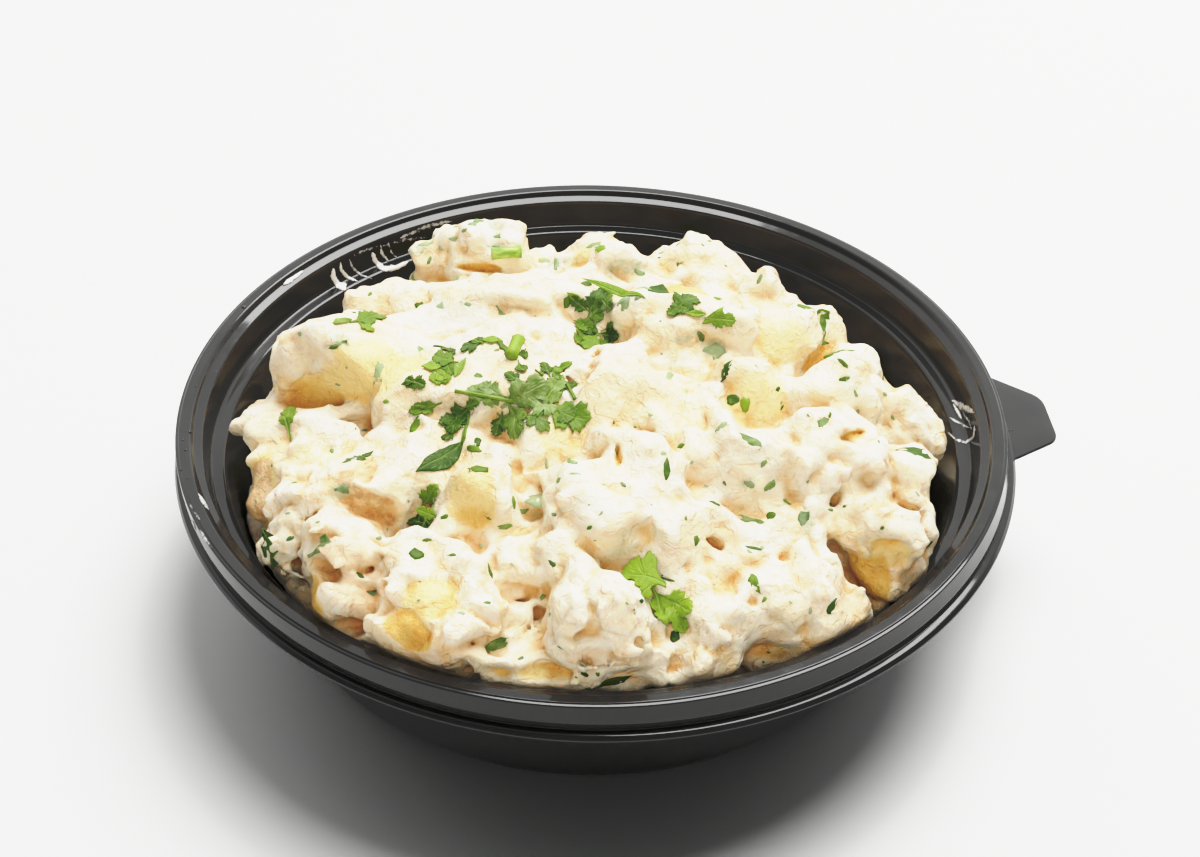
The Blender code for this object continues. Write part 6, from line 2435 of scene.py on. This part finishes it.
@dataclass(frozen=True)
class SoftLight:
    """A round soft light that faces the bowl: angles in degrees, power in watts."""

    name: str
    azimuth: float
    elevation: float
    size: float
    power: float
    colour: Colour
    distance: float = 1.25
    aim_height: float = 0.04

    def build(self) -> bpy.types.Object:
        """Hang the light and return it."""
        data = bpy.data.lights.new(self.name, "AREA")
        data.shape = "DISK"
        data.size = self.size
        data.energy = self.power
        data.color = self.colour
        azimuth, elevation = math.radians(self.azimuth), math.radians(self.elevation)
        level = math.cos(elevation)
        way = Vector((math.cos(azimuth) * level, math.sin(azimuth) * level, math.sin(elevation)))
        light = bpy.data.objects.new(self.name, data)
        light.location = way * self.distance + Vector((0, 0, self.aim_height))
        light.rotation_mode = "QUATERNION"
        light.rotation_quaternion = way.to_track_quat("Z", "Y")
        bpy.context.scene.collection.objects.link(light)
        return light


@dataclass
class Studio:
    """White paper under the bowl, one broad soft light over it, and a bright room behind."""

    floor_radius: float = 3.0
    softbox: SoftLight = SoftLight("softbox", 51.0, 66.0, 0.99, 15.1, (1.0, 0.995, 0.985))
    card: SoftLight = SoftLight("fill_card", -94.0, 34.0, 1.1, 6.2, (1.0, 0.93, 0.83))
    back_light: float = 0.95
    front_light: float = 0.026
    whitest: float = 2.0
    tones: tuple[Pair, ...] = (
        (0.0, 0.0), (0.006, 0.018), (0.02, 0.026), (0.05, 0.065), (0.1, 0.16),
        (0.2, 0.35), (0.42, 0.67), (0.6, 0.84), (1.0, 0.922), (2.0, 1.0),
    )

    def build_floor(self) -> bpy.types.Object:
        """Build the paper floor."""
        size = self.floor_radius
        corners = np.array([(-size, -size, 0), (size, -size, 0), (size, size, 0), (-size, size, 0)], float)
        floor = mesh_object("paper_floor", corners, [(0, 1, 2, 3)], FloorFinish().build())
        return floor

    def build_world(self) -> None:
        """Make the room: bright behind the bowl and above it, dim behind the camera."""
        world = bpy.data.worlds.new("room")
        bpy.context.scene.world = world
        graph = Graph(world, "Background")
        split = graph.node("ShaderNodeSeparateXYZ", None, {0: graph.places["Generated"]})
        sockets = {
            "Value": split.outputs["Y"],
            "From Min": -0.15,
            "From Max": 0.75,
            "To Min": self.front_light,
            "To Max": self.back_light,
        }
        spread = graph.node("ShaderNodeMapRange", {"interpolation_type": "SMOOTHSTEP"}, sockets)
        graph.finish({"Color": (1.0, 1.0, 1.0), "Strength": spread.outputs[0]})

    def light_food(self, food: Sequence[bpy.types.Object]) -> None:
        """Hold a soft card up in front of the food alone, so the plastic and paper stay dark and even."""
        lit = bpy.data.collections.new("lit_by_card")
        for piece in food:
            lit.objects.link(piece)
        self.card.build().light_linking.receiver_collection = lit

    def set_tones(self) -> None:
        """Give the picture a photograph's tone curve: deep blacks and a soft shoulder."""
        view = bpy.context.scene.view_settings
        view.view_transform = "Standard"
        view.use_curve_mapping = True
        view.curve_mapping.white_level = (self.whitest,) * 3
        points = view.curve_mapping.curves[3].points
        while len(points) < len(self.tones):
            points.new(0.5, 0.5)
        for point, (light, shown) in zip(points, self.tones):
            point.location = (light / self.whitest, shown)
        view.curve_mapping.update()

    def build(self) -> None:
        """Build floor, room and light."""
        self.build_floor()
        self.build_world()
        self.softbox.build()
        self.set_tones()


def corners(box: tuple[Vector, Vector]) -> list[list[float]]:
    """Return a box's two corners as plain lists."""
    return [list(corner) for corner in box]


def main() -> None:
    """Build the room, the bowl, the salad and the parsley in order, and report each piece."""
    logging.basicConfig(level=logging.INFO, format="%(name)s: %(message)s")
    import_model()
    camera = PictureCamera()
    camera.build()
    studio = Studio()
    studio.build()
    bowl = Bowl().build()
    log.info("bowl: %d faces", sum(len(piece.data.polygons) for piece in bowl))
    salad = Heap(camera).build()
    log.info("salad: %d faces", len(salad.data.polygons))
    ground = Ground([salad])
    leaves = Parsley(camera, ground).build()
    log.info("parsley: %d pieces", len(leaves))
    flecks = Flecks(camera, ground).build()
    log.info("herb flecks: %d faces", len(flecks.data.polygons))
    plastic = Ground(bowl)
    smears = Smears(camera, plastic, ground).build()
    log.info("smears: %d faces", len(smears.data.polygons))
    beads = Beads(camera, plastic).build()
    log.info("moisture beads: %d faces", len(beads.data.polygons))
    studio.light_food([salad, *leaves, flecks, smears])


if __name__ == "__main__":
    main()
